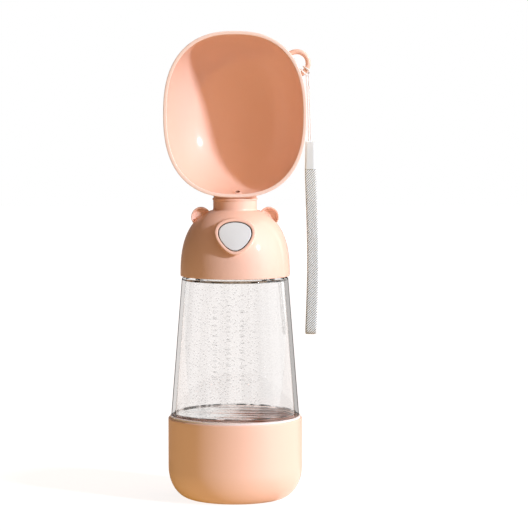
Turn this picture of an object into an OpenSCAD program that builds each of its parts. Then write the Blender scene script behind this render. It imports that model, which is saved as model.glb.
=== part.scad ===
// Travel water bottle for dogs. A drinking bowl stands on a domed cap, whose button opens a valve
// that lets water from the clear bottle up into the bowl. The bottle screws onto a food cup.
// Millimetres, +Z up, the front and the button towards -Y, origin at the middle of the cup's foot.

/* [Food cup] */
// Outer radius of the food cup
cup_r = 35.75; // [33:0.25:42]
// Height of the food cup's rim
cup_h = 43.4; // [36:0.2:60]
// Wall of the food cup
cup_wall = 2; // [1.6:0.1:3]
// Thickness of the food cup's floor
cup_floor = 2.4; // [1.6:0.2:4]
// Width of the round at the foot
foot_round_w = 12.5; // [6:0.5:16]
// Height of the round at the foot
foot_round_h = 17; // [8:0.5:24]
// Depth of the ring groove under the foot
foot_groove = 0.6; // [0.2:0.1:1.2]

/* [Bottle] */
// Height of the clear wall, from its seal to its shoulder
wall_h = 74; // [60:0.2:110]
// How far the clear wall's foot stands inside the cup's side
wall_step = 1.55; // [1.2:0.05:2.2]
// Outer radius at the shoulder
wall_top_r = 28.3; // [27:0.1:30]
// Thickness of the clear wall
wall_t = 1.8; // [1.2:0.1:2.6]
// Thickness of the bottle's floor
floor_t = 1.2; // [1:0.1:2.4]
// Thickness of the bottle's shoulder
shoulder_t = 1.2; // [1:0.1:2.4]
// Depth of the threaded skirt that enters the cup
skirt_h = 10; // [9:0.2:14]
// Outer radius of the mouth's neck
mouth_r = 23.2; // [21:0.1:23.6]
// Height of the mouth's neck
mouth_h = 10.4; // [9.6:0.1:14]

/* [Screw threads] */
// Rise of each thread in one turn
pitch = 4; // [3.6:0.1:4.2]
// Height of a thread's ridge above its wall
ridge_h = 1.2; // [0.9:0.05:1.4]
// Width of a ridge at its root
ridge_root = 1.5; // [1.2:0.1:1.7]
// Width of a ridge at its crest
ridge_crest = 0.7; // [0.4:0.1:1]
// Room between a crest and the wall that faces it
thread_gap = 0.55; // [0.4:0.05:0.7]
// Turns of the ridge on the bottle
male_turns = 1.5; // [1.25:0.25:1.5]
// Turns of the ridge in the cup and in the cap
female_turns = 1.25; // [1:0.25:1.25]

/* [Seals] */
// Thickness of the flat silicone seals
seal_t = 1; // [0.6:0.1:1.6]
// Room between a seal's side and what it lies beside
seal_gap = 0.35; // [0.3:0.05:0.6]

/* [Cap] */
// Outer radius of the cap's skirt
cap_r = 29.1; // [28.6:0.1:31]
// Height of the dome above the cap's edge
dome_h = 36.6; // [34:0.2:42]
// Fullness of the dome's curve, where 2 is an ellipse
dome_power = 2.6; // [2.2:0.1:3]
// Wall of the dome
cap_wall = 2; // [1.4:0.1:2.2]
// Room between the cap's edge and the bottle's shoulder
cap_gap = 0.8; // [0.4:0.1:1.6]
// Wall of the threaded liner
liner_wall = 1.2; // [0.8:0.1:1.2]
// Thickness of the liner's top plate
plate_t = 1.8; // [1.2:0.1:2.2]
// Outer radius of the neck under the bowl
neck_r = 11.6; // [10.6:0.1:14]
// Height of the neck above the dome's crown
neck_h = 3.7; // [2:0.1:8]
// Radius of the fillet round the neck's foot
neck_fillet = 1.4; // [0.6:0.1:3]

/* [Ears] */
// Radius of each ear
ear_r = 5.2; // [3.5:0.1:7]
// Depth of each ear, front to back
ear_d = 6.4; // [4:0.2:9]
// Distance of each ear's centre from the middle
ear_x = 18.1; // [14:0.1:20]
// Depth of the ears' centres below the dome's crown
ear_down = 5.2; // [3.6:0.1:10]
// Width of the rim round each ear's hollow
ear_rim = 1; // [0.6:0.1:1.6]
// Depth of each ear's hollow
ear_hollow = 1.6; // [0.6:0.1:2.4]

/* [Button] */
// Half the nominal width of the opening for the button
button_w = 8.65; // [7:0.05:10]
// Half the height of the opening for the button
button_h = 7.7; // [6:0.1:8]
// How much wider the top of the opening is than its foot
button_flare = 0.28; // [0:0.02:0.4]
// Height of the button's middle above the cap's edge
button_up = 22.6; // [21.6:0.1:24]
// Wall of the bezel round the button
bezel_wall = 1.65; // [1:0.05:1.7]
// How far the bezel stands out of the dome at its middle
bezel_out = 2.6; // [1:0.1:5]
// Backward tilt of the button's face
face_tilt = 20; // [0:1:26]
// Gap between the button and its bezel
button_gap = 0.45; // [0.3:0.05:0.8]
// Travel of the button
button_travel = 2.5; // [1:0.1:3]

/* [Valve] */
// Radius of the valve's stem
stem_r = 1.5; // [1.2:0.05:1.8]
// Running clearance of the stem in its guide, in radius
stem_fit = 0.08; // [0.02:0.01:0.1]
// Outer radius of the valve's barrel
barrel_r = 5.6; // [5.4:0.1:6.4]
// Bore of the outlet chamber
outlet_chamber_r = 3.8; // [3.4:0.1:4.2]
// Bore of the inlet chamber
inlet_chamber_r = 4.6; // [4.4:0.1:4.8]
// Radius of the hole in the valve's seat
seat_r = 2.6; // [2.2:0.1:2.8]
// Radius of the silicone plug that closes the seat
plug_r = 3.9; // [3.6:0.1:4]
// Thickness of the plug
plug_t = 2.4; // [1.6:0.1:3]
// Outer radius of the outlet pipe and of the bowl's nozzle
pipe_r = 1.9; // [1.7:0.1:2]
// Bore of the outlet pipe and of the bowl's nozzle
pipe_bore_r = 1.1; // [0.8:0.1:1.2]
// Wall of the silicone sleeve that joins them
sleeve_wall = 0.9; // [0.6:0.1:1.1]
// Sideways place of the outlet
outlet_x = 1.5; // [-1.5:0.1:1.5]
// Length of the button's spring at rest
spring_l = 8; // [7:0.5:9]
// Radius of the wire of the button's spring
spring_wire_r = 0.35; // [0.2:0.05:0.5]
// Radius of the spring's coil
spring_r = 3.5; // [3:0.1:4]
// Turns of the spring
spring_turns = 4; // [3:0.5:5]

/* [Bowl] */
// Half the width of the bowl's rim
bowl_w = 37.7; // [33:0.1:42]
// Half the height of the bowl's rim
bowl_h = 43.7; // [40:0.1:50]
// Depth of the bowl behind its rim
bowl_d = 39; // [34:0.5:44]
// Squareness of the rim's outline, where 2 is an ellipse
rim_power = 2.45; // [2:0.05:3]
// Squareness of the bowl's section, where 2 is an ellipse
hollow_power = 2.45; // [2:0.05:3]
// Wall of the bowl
bowl_wall = 1.8; // [1.2:0.1:2.4]
// How far the rim stands in front of the neck's axis
rim_front = 13; // [12.4:0.2:15]
// Height of the collar ring on the neck
collar_h = 1.2; // [0.8:0.1:2]
// How far the collar ring stands out of the neck
collar_out = 0.35; // [0.2:0.05:1]

/* [Lanyard loop] */
// Radius of the loop's centre line
loop_r = 6.05; // [5.6:0.05:6.4]
// Radius of the loop's bar
loop_bar_r = 1.35; // [1:0.05:1.4]
// Angle of the loop's centre round the bowl's rim, up from its right end
loop_turn = 33.5; // [25:0.5:40]
// How far the loop's bar lies behind the rim
loop_back = 4; // [3.6:0.1:4.4]

/* [Lanyard] */
// Thickness of the hitch cord
cord_d = 0.9; // [0.8:0.05:1]
// Width of the strap's webbing
strap_w = 5.8; // [4:0.1:8]
// Thickness of the strap's webbing
strap_t = 1; // [0.8:0.1:1.1]
// Width of the crimp at its top
crimp_top_w = 4.8; // [4:0.1:6]
// Width of the crimp at its foot
crimp_foot_w = 5.4; // [4.5:0.1:7]
// Thickness of the crimp
crimp_t = 3.4; // [2.8:0.1:5]

/* [Hidden] */
$fn = 96;
skim = 0.02; // how far a cutting solid runs past the face that it opens

// Heights of the stack, from the floor up
wall_z = cup_h + seal_t; // foot of the clear wall, on its seal
shoulder_z = wall_z + wall_h;
mouth_z = shoulder_z + mouth_h;
cap_z = shoulder_z + cap_gap; // the cap's lower edge
plate_z = mouth_z + seal_t; // underside of the liner's plate
plate_top = plate_z + plate_t;
crown_z = cap_z + dome_h;
neck_z = crown_z + neck_h; // the neck's rim
stem_z = neck_z + collar_h; // foot of the bowl's stem
bowl_z = stem_z + bowl_h + 0.7; // the bowl's middle, whose foot clears the collar by this much
button_z = cap_z + button_up;
male_cup_z = wall_z - skirt_h + ridge_root / 2 + 0.6; // where the skirt's ridge begins
male_mouth_z = shoulder_z + ridge_root / 2 + 1.3; // where the mouth's ridge begins
spigot_h = 4.6; // depth of the bowl stem's spigot in the neck
sleeve_top = stem_z - spigot_h - 0.3;

// Radii that follow from what fits in what
cup_in_r = cup_r - cup_wall;
wall_foot_r = cup_r - wall_step;
skirt_r = cup_in_r - thread_gap - ridge_h;
liner_in_r = mouth_r + ridge_h + thread_gap;
liner_r = liner_in_r + liner_wall;
cap_in_r = cap_r - cap_wall;
neck_in_r = neck_r - cap_wall;
inlet_r = 2.8; // the hole through which water enters the valve
inlet_flange_r = 8;
stem_head_r = stem_r + 1.1;
boss_r = spring_r + spring_wire_r + 0.35; // the button's boss, on which the spring bears
hollow_h = dome_h - cap_wall;

// Places along the valve's axis, from front to back
barrel_front = -12;
seat_front = -1;
seat_back = 1;
plug_back = seat_back + plug_t;
stem_head_t = 0.8;
barrel_cap_l = 1.4;
barrel_back = plug_back + stem_head_t + button_travel + 1.5 + barrel_cap_l;
bezel_back = barrel_front - 3;
button_back = bezel_back - button_travel - 0.5;
boss_back = barrel_front - spring_l;
stem_front = boss_back - 3.4; // the stem's end inside the button's boss
inlet_y = seat_back + 4.2;
outlet_y = -6;
dome_front = -cap_r * pow(1 - pow(button_up / dome_h, dome_power), 1 / dome_power);
face_y = dome_front - bezel_out; // the bezel's face on the valve's axis
button_inset = 0.3; // the button's face lies this far behind the bezel's
face_reach = 12; // how far a bar along the valve's axis runs past the bezel's face
clear_through = -20; // an inset that leaves nothing of the bar's face
// The sleeve round the outlet, and the two pipe ends that meet inside it
sleeve_foot = button_z + barrel_r + 0.6;
sleeve_h = sleeve_top - sleeve_foot;
pipe_top = sleeve_foot + 0.4 * sleeve_h;
nozzle_foot = sleeve_top - 0.4 * sleeve_h;
guide_l = 3; // length of the stem's guide in the barrel's front wall
steps = 48; // points round an outline that isn't a circle

// The middle of the lanyard's eye, from which the lanyard's routes are measured
loop_place = rounded(bowl_w, bowl_h, rim_power, loop_turn);
eye = [loop_place[0], loop_back - rim_front, bowl_z + loop_place[1]];

// The hitch cord's route: up from the crimp, round the loop's bar, across, round again and down
cord_route = [for (p = [[6.6, -0.3, -41.2], [6.5, -0.2, -36.4], [6.2, -0.1, -27.4],
    [5.9, 0, -18.4], [5.6, 0.1, -11.4], [5.3, 0.9, -7.4], [5, 1.6, -5.2], [3.5, 1.9, -4.1],
    [2.5, 1, -3.4], [2.4, -0.6, -3.4], [3.2, -1.8, -4.3], [4.6, -1.9, -5.7], [6.1, -1.4, -6],
    [6.5, -1.9, -4.1], [4.8, -1.9, -2.5], [3.7, -0.8, -1.8], [3.7, 0.9, -1.8], [4.6, 1.9, -2.7],
    [6, 1.7, -4.3], [6.5, 0.9, -7], [6.6, 0.1, -11.4], [6.9, 0, -18.4], [7.2, -0.1, -27.4],
    [7.5, -0.2, -36.4], [7.6, -0.3, -41.2]]) eye + p];

// The strap's route: down its front layer, round the fold and up its back layer
strap_route = [for (p = [[7.3, -0.7, -55], [7.3, -0.7, -56], [7.4, -1, -60.4],
    [7.7, -1.5, -68.4], [8.1, -1.7, -79.4], [8.5, -1.8, -93.4], [8.6, -1.8, -109.4],
    [8.3, -1.8, -123.4], [7.9, -1.8, -135.4], [7.7, -1.6, -140.4], [7.7, -1, -142.2],
    [7.7, 0, -142.8], [7.7, 1, -142.2], [7.7, 1.6, -140.4], [7.9, 1.8, -135.4],
    [8.3, 1.8, -123.4], [8.6, 1.8, -109.4], [8.5, 1.8, -93.4], [8.1, 1.7, -79.4],
    [7.7, 1.5, -68.4], [7.4, 1, -60.4], [7.3, 0.7, -56], [7.3, 0.7, -55]]) eye + p];
crimp_foot = eye + [7.1, 0, -55.8]; // middle of the crimp's foot
crimp_h = cord_route[0][2] - crimp_foot[2];
strap_slot = 2.7; // the crimp's slot for the strap's two ends

// A closed skin over rings of points, each ring with the same number, in the order of their path
module skin(rings) {
    n = len(rings);
    m = len(rings[0]);
    sides = [for (i = [0 : n - 2], j = [0 : m - 1], half = [0, 1])
        let (a = i * m + j, b = i * m + (j + 1) % m)
        half == 0 ? [b + m, b, a] : [a + m, b + m, a]];
    first = [for (j = [0 : m - 1]) j];
    last = [for (j = [m - 1 : -1 : 0]) (n - 1) * m + j];
    polyhedron([for (ring = rings) each ring], concat([first], sides, [last]));
}

function unit(v) = v / norm(v);
function square_to(v, t) = unit(v - (v * t) * t);
function heading(path, i) = unit(path[min(i + 1, len(path) - 1)] - path[max(i - 1, 0)]);

// Directions square to a path, each turned as little as possible from the one before
function carried(path, start) = [for (i = 0, v = square_to(start, heading(path, 0)); i < len(path);
    i = i + 1, v = square_to(v, heading(path, min(i, len(path) - 1)))) v];

// A section carried along a path, its first axis starting along start
module along(path, section, start) {
    up = carried(path, start);
    skin([for (i = [0 : len(path) - 1])
        let (side = cross(heading(path, i), up[i]))
        [for (s = section) path[i] + s[0] * up[i] + s[1] * side]]);
}

// A point of an outline that is between an ellipse and a rectangle
function rounded(a, b, power, angle) = [
    a * sign(cos(angle)) * pow(abs(cos(angle)), 2 / power),
    b * sign(sin(angle)) * pow(abs(sin(angle)), 2 / power)];

// A thread's ridge: a helix from height z on a wall of radius r, standing out (1) or in (-1)
module ridge(r, z, turns, first_turn, way) {
    count = round(turns * 30);
    lead = 3;
    sink = 0.4;
    skin([for (i = [0 : count])
        let (turn = first_turn + turns * i / count,
            share = max(0.15, min(1, i / lead, (count - i) / lead)),
            angle = 360 * turn,
            rise = z + pitch * turn,
            root = r - way * sink,
            crest = r + way * ridge_h * share,
            section = [[root, -ridge_root / 2], [root, ridge_root / 2],
                [crest, ridge_crest / 2], [crest, -ridge_crest / 2]],
            order = way > 0 ? [0, 1, 2, 3] : [3, 2, 1, 0])
        [for (k = order) [section[k][0] * cos(angle), section[k][0] * sin(angle),
            rise + section[k][1]]]]);
}

// ---- food cup ----

function cup_curve(inset) = [for (i = [0 : 8]) let (a = 90 * i / 8)
    [cup_r - foot_round_w + (foot_round_w - inset) * sin(a),
        foot_round_h - (foot_round_h - inset) * cos(a)]];

module food_cup() {
    groove_r = cup_r - foot_round_w - 4;
    color("peachpuff") {
        difference() {
            rotate_extrude() polygon(concat([[0, 0]], cup_curve(0),
                [[cup_r, cup_h - 0.5], [cup_r - 0.5, cup_h], [cup_in_r, cup_h]],
                [for (i = [8 : -1 : 0]) let (p = cup_curve(cup_wall)[i])
                    [p[0], max(p[1], cup_floor)]],
                [[0, cup_floor]]));
            translate([0, 0, -skim]) rotate_extrude()
                translate([groove_r, 0]) square([1.6, foot_groove + skim]);
        }
        ridge(cup_in_r, male_cup_z - pitch / 2, female_turns, male_turns - female_turns, -1);
    }
}

module cup_seal() {
    color("whitesmoke") translate([0, 0, cup_h]) difference() {
        cylinder(r = (cup_in_r + cup_r) / 2, h = seal_t);
        translate([0, 0, -skim]) cylinder(r = skirt_r + seal_gap, h = seal_t + 2 * skim);
    }
}

// ---- bottle ----

module bottle() {
    round_r = 1.2;
    inner_round_r = 0.8;
    inner_foot_r = wall_foot_r - wall_t;
    inner_top_r = wall_top_r - wall_t;
    mouth_in_r = mouth_r - wall_t;
    wall_slope = (wall_foot_r - wall_top_r) / wall_h;
    corner_r = wall_top_r + wall_slope * round_r;
    skirt_in_r = skirt_r - wall_t;
    color([0.85, 0.9, 0.92, 0.4]) {
        rotate_extrude() polygon(concat(
            [[0, wall_z], [skirt_in_r, wall_z], [skirt_in_r, wall_z - skirt_h],
                [skirt_r, wall_z - skirt_h], [skirt_r, wall_z], [wall_foot_r - 0.4, wall_z],
                [wall_foot_r, wall_z + 0.4]],
            [for (i = [0 : 5]) let (a = 90 * i / 5)
                [corner_r - round_r + round_r * cos(a), shoulder_z - round_r + round_r * sin(a)]],
            [[mouth_r, shoulder_z], [mouth_r, mouth_z - 0.4], [mouth_r - 0.4, mouth_z],
                [mouth_in_r, mouth_z], [mouth_in_r, shoulder_z - shoulder_t]],
            [for (i = [4 : -1 : 0]) let (a = 90 * i / 4)
                [inner_top_r - inner_round_r + inner_round_r * cos(a),
                    shoulder_z - shoulder_t - inner_round_r + inner_round_r * sin(a)]],
            [[inner_foot_r, wall_z + floor_t + 1], [inner_foot_r - 1, wall_z + floor_t],
                [0, wall_z + floor_t]]));
        ridge(skirt_r, male_cup_z, male_turns, 0, 1);
        ridge(mouth_r, male_mouth_z, male_turns, 0, 1);
    }
}

module mouth_seal() {
    color("whitesmoke") translate([0, 0, mouth_z]) difference() {
        cylinder(r = liner_in_r - seal_gap, h = seal_t);
        translate([0, 0, -skim]) cylinder(r = mouth_r - wall_t, h = seal_t + 2 * skim);
    }
}

// ---- cap ----

// The dome's curve from the cap's edge to radius r_end
function dome_curve(r, h, r_end) = let (a_end = acos(pow(r_end / r, dome_power / 2)), n = 20)
    [for (i = [0 : n]) let (p = rounded(r, h, dome_power, a_end * i / n)) [p[0], cap_z + p[1]]];

// The dome without its hollow, below the neck's fillet
module dome_solid() {
    curve = dome_curve(cap_r, dome_h, neck_r + neck_fillet);
    rotate_extrude() polygon(concat([[0, cap_z]], curve, [[0, curve[len(curve) - 1][1]]]));
}

// The outline of the opening for the button, widened all round by grow
module button_outline(grow) {
    polygon([for (i = [0 : steps - 1]) let (a = 360 * i / steps)
        [(button_w + grow) * cos(a) * (1 + button_flare * sin(a)), (button_h + grow) * sin(a)]]);
}

// A bar with that outline, from the tilted face, set back by inset, to the plane y = back
module button_bar(grow, inset, back) {
    translate([0, 0, button_z]) intersection() {
        translate([0, back, 0]) rotate([90, 0, 0])
            linear_extrude(back - face_y + face_reach) button_outline(grow);
        translate([0, face_y + inset, 0]) rotate([-face_tilt, 0, 0])
            translate([-2 * button_w, 0, -3 * button_h])
                cube([4 * button_w, -2 * clear_through, 6 * button_h]);
    }
}

module cap_dome() {
    outer = dome_curve(cap_r, dome_h, neck_r + neck_fillet);
    foot = outer[len(outer) - 1][1];
    inner = dome_curve(cap_in_r, hollow_h, neck_in_r);
    color("peachpuff") difference() {
        rotate_extrude() polygon(concat(
            outer,
            [[neck_r + neck_fillet * 0.4, foot + neck_fillet * 0.4],
                [neck_r, foot + neck_fillet], [neck_r, neck_z], [neck_in_r, neck_z]],
            [for (i = [len(inner) - 1 : -1 : 0]) inner[i]]));
        button_bar(bezel_wall, clear_through, bezel_back);
    }
}

module cap_liner() {
    foot_z = cap_z + 0.8;
    flange_t = 1.6;
    color("white") {
        difference() {
            union() {
                translate([0, 0, foot_z]) cylinder(r = liner_r, h = plate_top - foot_z);
                translate([0, 0, foot_z]) cylinder(r = cap_in_r - 0.1, h = flange_t);
            }
            translate([0, 0, foot_z - skim]) cylinder(r = liner_in_r, h = plate_z - foot_z + skim);
            translate([0, inlet_y, plate_z - 1]) cylinder(r = inlet_r, h = plate_t + 2);
        }
        ridge(liner_in_r, male_mouth_z + pitch / 2, female_turns, 0, -1);
    }
}

module ear(side) {
    dish_r = ear_r - ear_rim;
    ball_r = (dish_r * dish_r + ear_hollow * ear_hollow) / (2 * ear_hollow);
    color("peachpuff") difference() {
        translate([side * ear_x, 0, crown_z - ear_down]) rotate([90, 0, 0]) difference() {
            rotate_extrude() polygon([[0, -ear_d / 2], [ear_r - 1.6, -ear_d / 2],
                [ear_r - 0.5, -ear_d / 2 + 0.5], [ear_r, -ear_d / 2 + 1.6],
                [ear_r, ear_d / 2 - 0.4], [ear_r - 0.4, ear_d / 2], [0, ear_d / 2]]);
            translate([0, 0, ear_d / 2 + ball_r - ear_hollow]) sphere(r = ball_r);
        }
        dome_solid();
    }
}

module left_ear() ear(-1);
module right_ear() ear(1);

module button_bezel() {
    color("peachpuff") difference() {
        button_bar(bezel_wall, 0, bezel_back);
        button_bar(0, clear_through, bezel_back + 1);
    }
}

// ---- button and valve ----

module button() {
    wall = 1.3;
    face_t = 1.6;
    color("gainsboro") difference() {
        union() {
            difference() {
                button_bar(-button_gap, button_inset, button_back);
                button_bar(-button_gap - wall, button_inset + face_t, button_back + 1);
            }
            intersection() {
                translate([0, boss_back, button_z]) rotate([90, 0, 0])
                    cylinder(r = boss_r, h = boss_back - face_y);
                button_bar(-button_gap, button_inset + face_t / 2, button_back);
            }
        }
        translate([0, boss_back + skim, button_z]) rotate([90, 0, 0])
            cylinder(r = stem_r, h = boss_back - stem_front + skim);
    }
}

module valve_stem() {
    back = plug_back + stem_head_t;
    color("white") {
        translate([0, plug_back, button_z]) rotate([90, 0, 0])
            cylinder(r = stem_r, h = plug_back - stem_front);
        translate([0, back, button_z]) rotate([90, 0, 0])
            cylinder(r = stem_head_r, h = stem_head_t);
    }
}

module valve_plug() {
    color("silver") translate([0, seat_back, button_z]) rotate([-90, 0, 0])
        rotate_extrude() polygon([[stem_r, 0], [plug_r - 0.4, 0], [plug_r, 0.4],
            [plug_r, plug_t - 0.6], [plug_r - 0.6, plug_t], [stem_r, plug_t]]);
}

module return_spring() {
    length = barrel_front - boss_back - 2 * spring_wire_r;
    count = spring_turns * 16;
    path = [for (i = [0 : count]) let (a = 360 * spring_turns * i / count)
        [spring_r * cos(a), boss_back + spring_wire_r + length * i / count,
            button_z + spring_r * sin(a)]];
    color("silver") along(path,
        [for (k = [0 : 5]) spring_wire_r * [cos(60 * k), sin(60 * k)]], [0, 1, 0]);
}

module valve_barrel() {
    flange_t = 1.6;
    foot_z = plate_top + seal_t;
    inlet_foot_r = inlet_r + 1.6;
    color("white") difference() {
        union() {
            translate([0, barrel_back, button_z]) rotate([90, 0, 0])
                cylinder(r = barrel_r, h = barrel_back - barrel_front);
            translate([outlet_x, outlet_y, button_z]) cylinder(r = pipe_r, h = pipe_top - button_z);
            translate([0, inlet_y, foot_z]) cylinder(r = inlet_foot_r, h = button_z - foot_z);
            translate([0, inlet_y, foot_z]) cylinder(r = inlet_flange_r, h = flange_t);
        }
        translate([0, barrel_front + guide_l + skim, button_z]) rotate([90, 0, 0])
            cylinder(r = stem_r + stem_fit, h = guide_l + 2 * skim);
        translate([0, seat_front, button_z]) rotate([90, 0, 0])
            cylinder(r = outlet_chamber_r, h = seat_front - barrel_front - guide_l);
        translate([0, seat_back + skim, button_z]) rotate([90, 0, 0])
            cylinder(r = seat_r, h = seat_back - seat_front + 2 * skim);
        translate([0, barrel_back + skim, button_z]) rotate([90, 0, 0])
            cylinder(r = inlet_chamber_r, h = barrel_back - seat_back + skim);
        translate([outlet_x, outlet_y, button_z])
            cylinder(r = pipe_bore_r, h = pipe_top - button_z + 1);
        translate([0, inlet_y, foot_z - 1]) cylinder(r = inlet_r, h = button_z - foot_z + 1);
    }
}

module barrel_cap() {
    head_t = 1.2;
    color("white") {
        translate([0, barrel_back, button_z]) rotate([90, 0, 0])
            cylinder(r = inlet_chamber_r, h = barrel_cap_l);
        translate([0, barrel_back + head_t, button_z]) rotate([90, 0, 0])
            cylinder(r = barrel_r, h = head_t);
    }
}

module stem_seal() {
    ring = 0.8;
    color("dimgray") translate([0, barrel_front + guide_l + ring, button_z]) rotate([90, 0, 0])
        rotate_extrude() translate([stem_r + stem_fit + ring, 0]) circle(r = ring, $fn = 24);
}

module inlet_washer() {
    color("whitesmoke") translate([0, inlet_y, plate_top]) difference() {
        cylinder(r = inlet_flange_r - 0.6, h = seal_t);
        translate([0, 0, -skim]) cylinder(r = inlet_r, h = seal_t + 2 * skim);
    }
}

module outlet_sleeve() {
    color("whitesmoke") translate([outlet_x, outlet_y, sleeve_foot]) difference() {
        cylinder(r = pipe_r + sleeve_wall, h = sleeve_top - sleeve_foot);
        translate([0, 0, -skim]) cylinder(r = pipe_r, h = sleeve_top - sleeve_foot + 2 * skim);
    }
}

// ---- bowl ----

// A ring round the bowl's surface of half width a, half height b and depth d, at angle from the rim
function bowl_ring(a, b, d, angle) = let (s = rounded(1, d, hollow_power, angle))
    [for (j = [0 : steps - 1]) let (p = rounded(a * s[0], b * s[0], rim_power, 360 * j / steps))
        [p[0], s[1] - rim_front, bowl_z + p[1]]];

bowl_bands = 10;
bowl_pole = 86; // the last ring's angle, where a small flat closes the surface

function bowl_rings(inset) = [for (i = [0 : bowl_bands])
    bowl_ring(bowl_w - inset, bowl_h - inset, bowl_d - inset, bowl_pole * i / bowl_bands)];

module bowl_solid() let (rings = bowl_rings(0))
    skin([for (i = [bowl_bands : -1 : 0]) rings[i]]);

module bowl() {
    outer = bowl_rings(0);
    inner = bowl_rings(bowl_wall);
    color("peachpuff") difference() {
        skin(concat([for (i = [bowl_bands : -1 : 0]) outer[i]], inner));
        translate([outlet_x, outlet_y, stem_z]) cylinder(r = pipe_r, h = 8);
    }
}

module bowl_stem() {
    stem_top = bowl_z - bowl_h * 0.6;
    color("peachpuff") difference() {
        union() {
            translate([0, 0, stem_z]) cylinder(r = neck_r - 0.2, h = stem_top - stem_z);
            translate([0, 0, stem_z - spigot_h]) cylinder(r = neck_in_r - 0.1, h = spigot_h);
        }
        translate([0, 0, stem_z - spigot_h - skim]) cylinder(r = neck_in_r - 1.4, h = spigot_h + skim);
        translate([outlet_x, outlet_y, stem_z - 1]) cylinder(r = pipe_r, h = 8);
        bowl_solid();
    }
}

module neck_collar() {
    color("peachpuff") translate([0, 0, neck_z]) difference() {
        cylinder(r = neck_r + collar_out, h = collar_h);
        translate([0, 0, -skim]) cylinder(r = neck_in_r, h = collar_h + 2 * skim);
    }
}

module bowl_nozzle() {
    // The nozzle's mouth stands a little proud of the bowl's floor where it comes through
    slice = (rim_front + outlet_y) / (bowl_d - bowl_wall);
    floor_z = bowl_z - (bowl_h - bowl_wall) * pow(1 - pow(slice, hollow_power), 1 / hollow_power);
    color("peachpuff") translate([outlet_x, outlet_y, nozzle_foot]) difference() {
        cylinder(r = pipe_r, h = floor_z + 0.5 - nozzle_foot);
        translate([0, 0, -1]) cylinder(r = pipe_bore_r, h = floor_z + 2 - nozzle_foot);
    }
}

module lanyard_loop() {
    first = -74;
    span = 204;
    color("peachpuff") difference() {
        translate(eye) rotate([90, 0, 0]) rotate([0, 0, first])
            rotate_extrude(angle = span) translate([loop_r, 0]) circle(r = loop_bar_r, $fn = 24);
        bowl_solid();
    }
}

// ---- lanyard ----

module hitch_cord() {
    color("white") along(cord_route,
        [for (k = [0 : 7]) cord_d / 2 * [cos(45 * k), sin(45 * k)]], [0, 1, 0]);
}

module cord_crimp() {
    color("gainsboro") difference() {
        translate(crimp_foot + [0, crimp_t / 2, 0]) rotate([90, 0, 0])
            linear_extrude(crimp_t) polygon([[-crimp_foot_w / 2, 0], [crimp_foot_w / 2, 0],
                [crimp_top_w / 2, crimp_h], [-crimp_top_w / 2, crimp_h]]);
        translate(crimp_foot - [crimp_foot_w, strap_slot / 2, skim])
            cube([2 * crimp_foot_w, strap_slot, strap_route[0][2] - crimp_foot[2] + skim]);
    }
}

module wrist_strap() {
    w = strap_w / 2;
    t = strap_t / 2;
    color("lightgray") along(strap_route,
        [[t, 0.8 * w], [0.6 * t, w], [-0.6 * t, w], [-t, 0.8 * w],
            [-t, -0.8 * w], [-0.6 * t, -w], [0.6 * t, -w], [t, -0.8 * w]], [0, -1, 0]);
}

food_cup();
cup_seal();
bottle();
mouth_seal();
cap_dome();
cap_liner();
left_ear();
right_ear();
button_bezel();
button();
valve_stem();
valve_plug();
return_spring();
valve_barrel();
barrel_cap();
stem_seal();
inlet_washer();
outlet_sleeve();
neck_collar();
bowl_stem();
bowl();
bowl_nozzle();
lanyard_loop();
hitch_cord();
cord_crimp();
wrist_strap();
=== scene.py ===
"""A travel water bottle for dogs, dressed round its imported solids.

Every piece is worked out in millimetres and put into its mesh in metres, in the frame of the solids.
A shape is a grid of points: rows along a profile or a route, columns round it.
"""

import math

import bmesh
import bpy
import numpy as np
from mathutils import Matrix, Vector


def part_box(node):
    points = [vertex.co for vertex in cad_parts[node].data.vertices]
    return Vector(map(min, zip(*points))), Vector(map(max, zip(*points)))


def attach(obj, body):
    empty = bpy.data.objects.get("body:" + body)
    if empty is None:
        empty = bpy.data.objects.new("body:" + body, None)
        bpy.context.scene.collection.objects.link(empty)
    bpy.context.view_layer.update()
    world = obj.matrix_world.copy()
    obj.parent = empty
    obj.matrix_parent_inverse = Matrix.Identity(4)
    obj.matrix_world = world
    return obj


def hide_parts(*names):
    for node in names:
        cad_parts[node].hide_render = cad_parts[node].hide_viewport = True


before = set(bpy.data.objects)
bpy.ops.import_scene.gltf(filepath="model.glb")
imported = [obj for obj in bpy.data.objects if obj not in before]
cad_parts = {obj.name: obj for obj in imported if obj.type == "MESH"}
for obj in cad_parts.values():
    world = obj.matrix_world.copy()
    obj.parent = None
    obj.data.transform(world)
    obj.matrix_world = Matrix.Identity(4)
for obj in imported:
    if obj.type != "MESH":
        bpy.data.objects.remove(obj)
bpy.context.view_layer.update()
MM = 0.001


def box_mm(node):
    """The lowest and highest corner of a solid, in millimetres."""
    low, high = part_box(node)
    return np.array(low) / MM, np.array(high) / MM


# ---- sizes, in millimetres, from the solids where they show them ----

cup_r, cup_h = box_mm("food_cup")[1][[0, 2]]
cup_wall = 2.0
cup_floor = 2.4
foot_round_w = 12.5
foot_round_h = 17.0
foot_groove = 0.6
foot_groove_w = 1.6
cup_thread_h = 11.0

wall_z = box_mm("cup_seal")[1][2]
wall_foot_r = box_mm("bottle")[1][0]
mouth_z = box_mm("bottle")[1][2]
skirt_z = box_mm("bottle")[0][2]
mouth_h = 10.4
shoulder_z = mouth_z - mouth_h
wall_top_r = 28.3
wall_t = 1.8
floor_t = 1.2
shoulder_t = 1.2
shoulder_round = 1.2

pitch = 4.0
ridge_h = 1.2
ridge_root = 1.5
ridge_crest = 0.7
thread_gap = 0.55
male_turns = 1.5
female_turns = 1.25
skirt_r = cup_r - cup_wall - thread_gap - ridge_h
mouth_r = 23.2
skirt_ridge_z = skirt_z + ridge_root / 2 + 0.6
mouth_ridge_z = shoulder_z + ridge_root / 2 + 1.3

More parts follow.
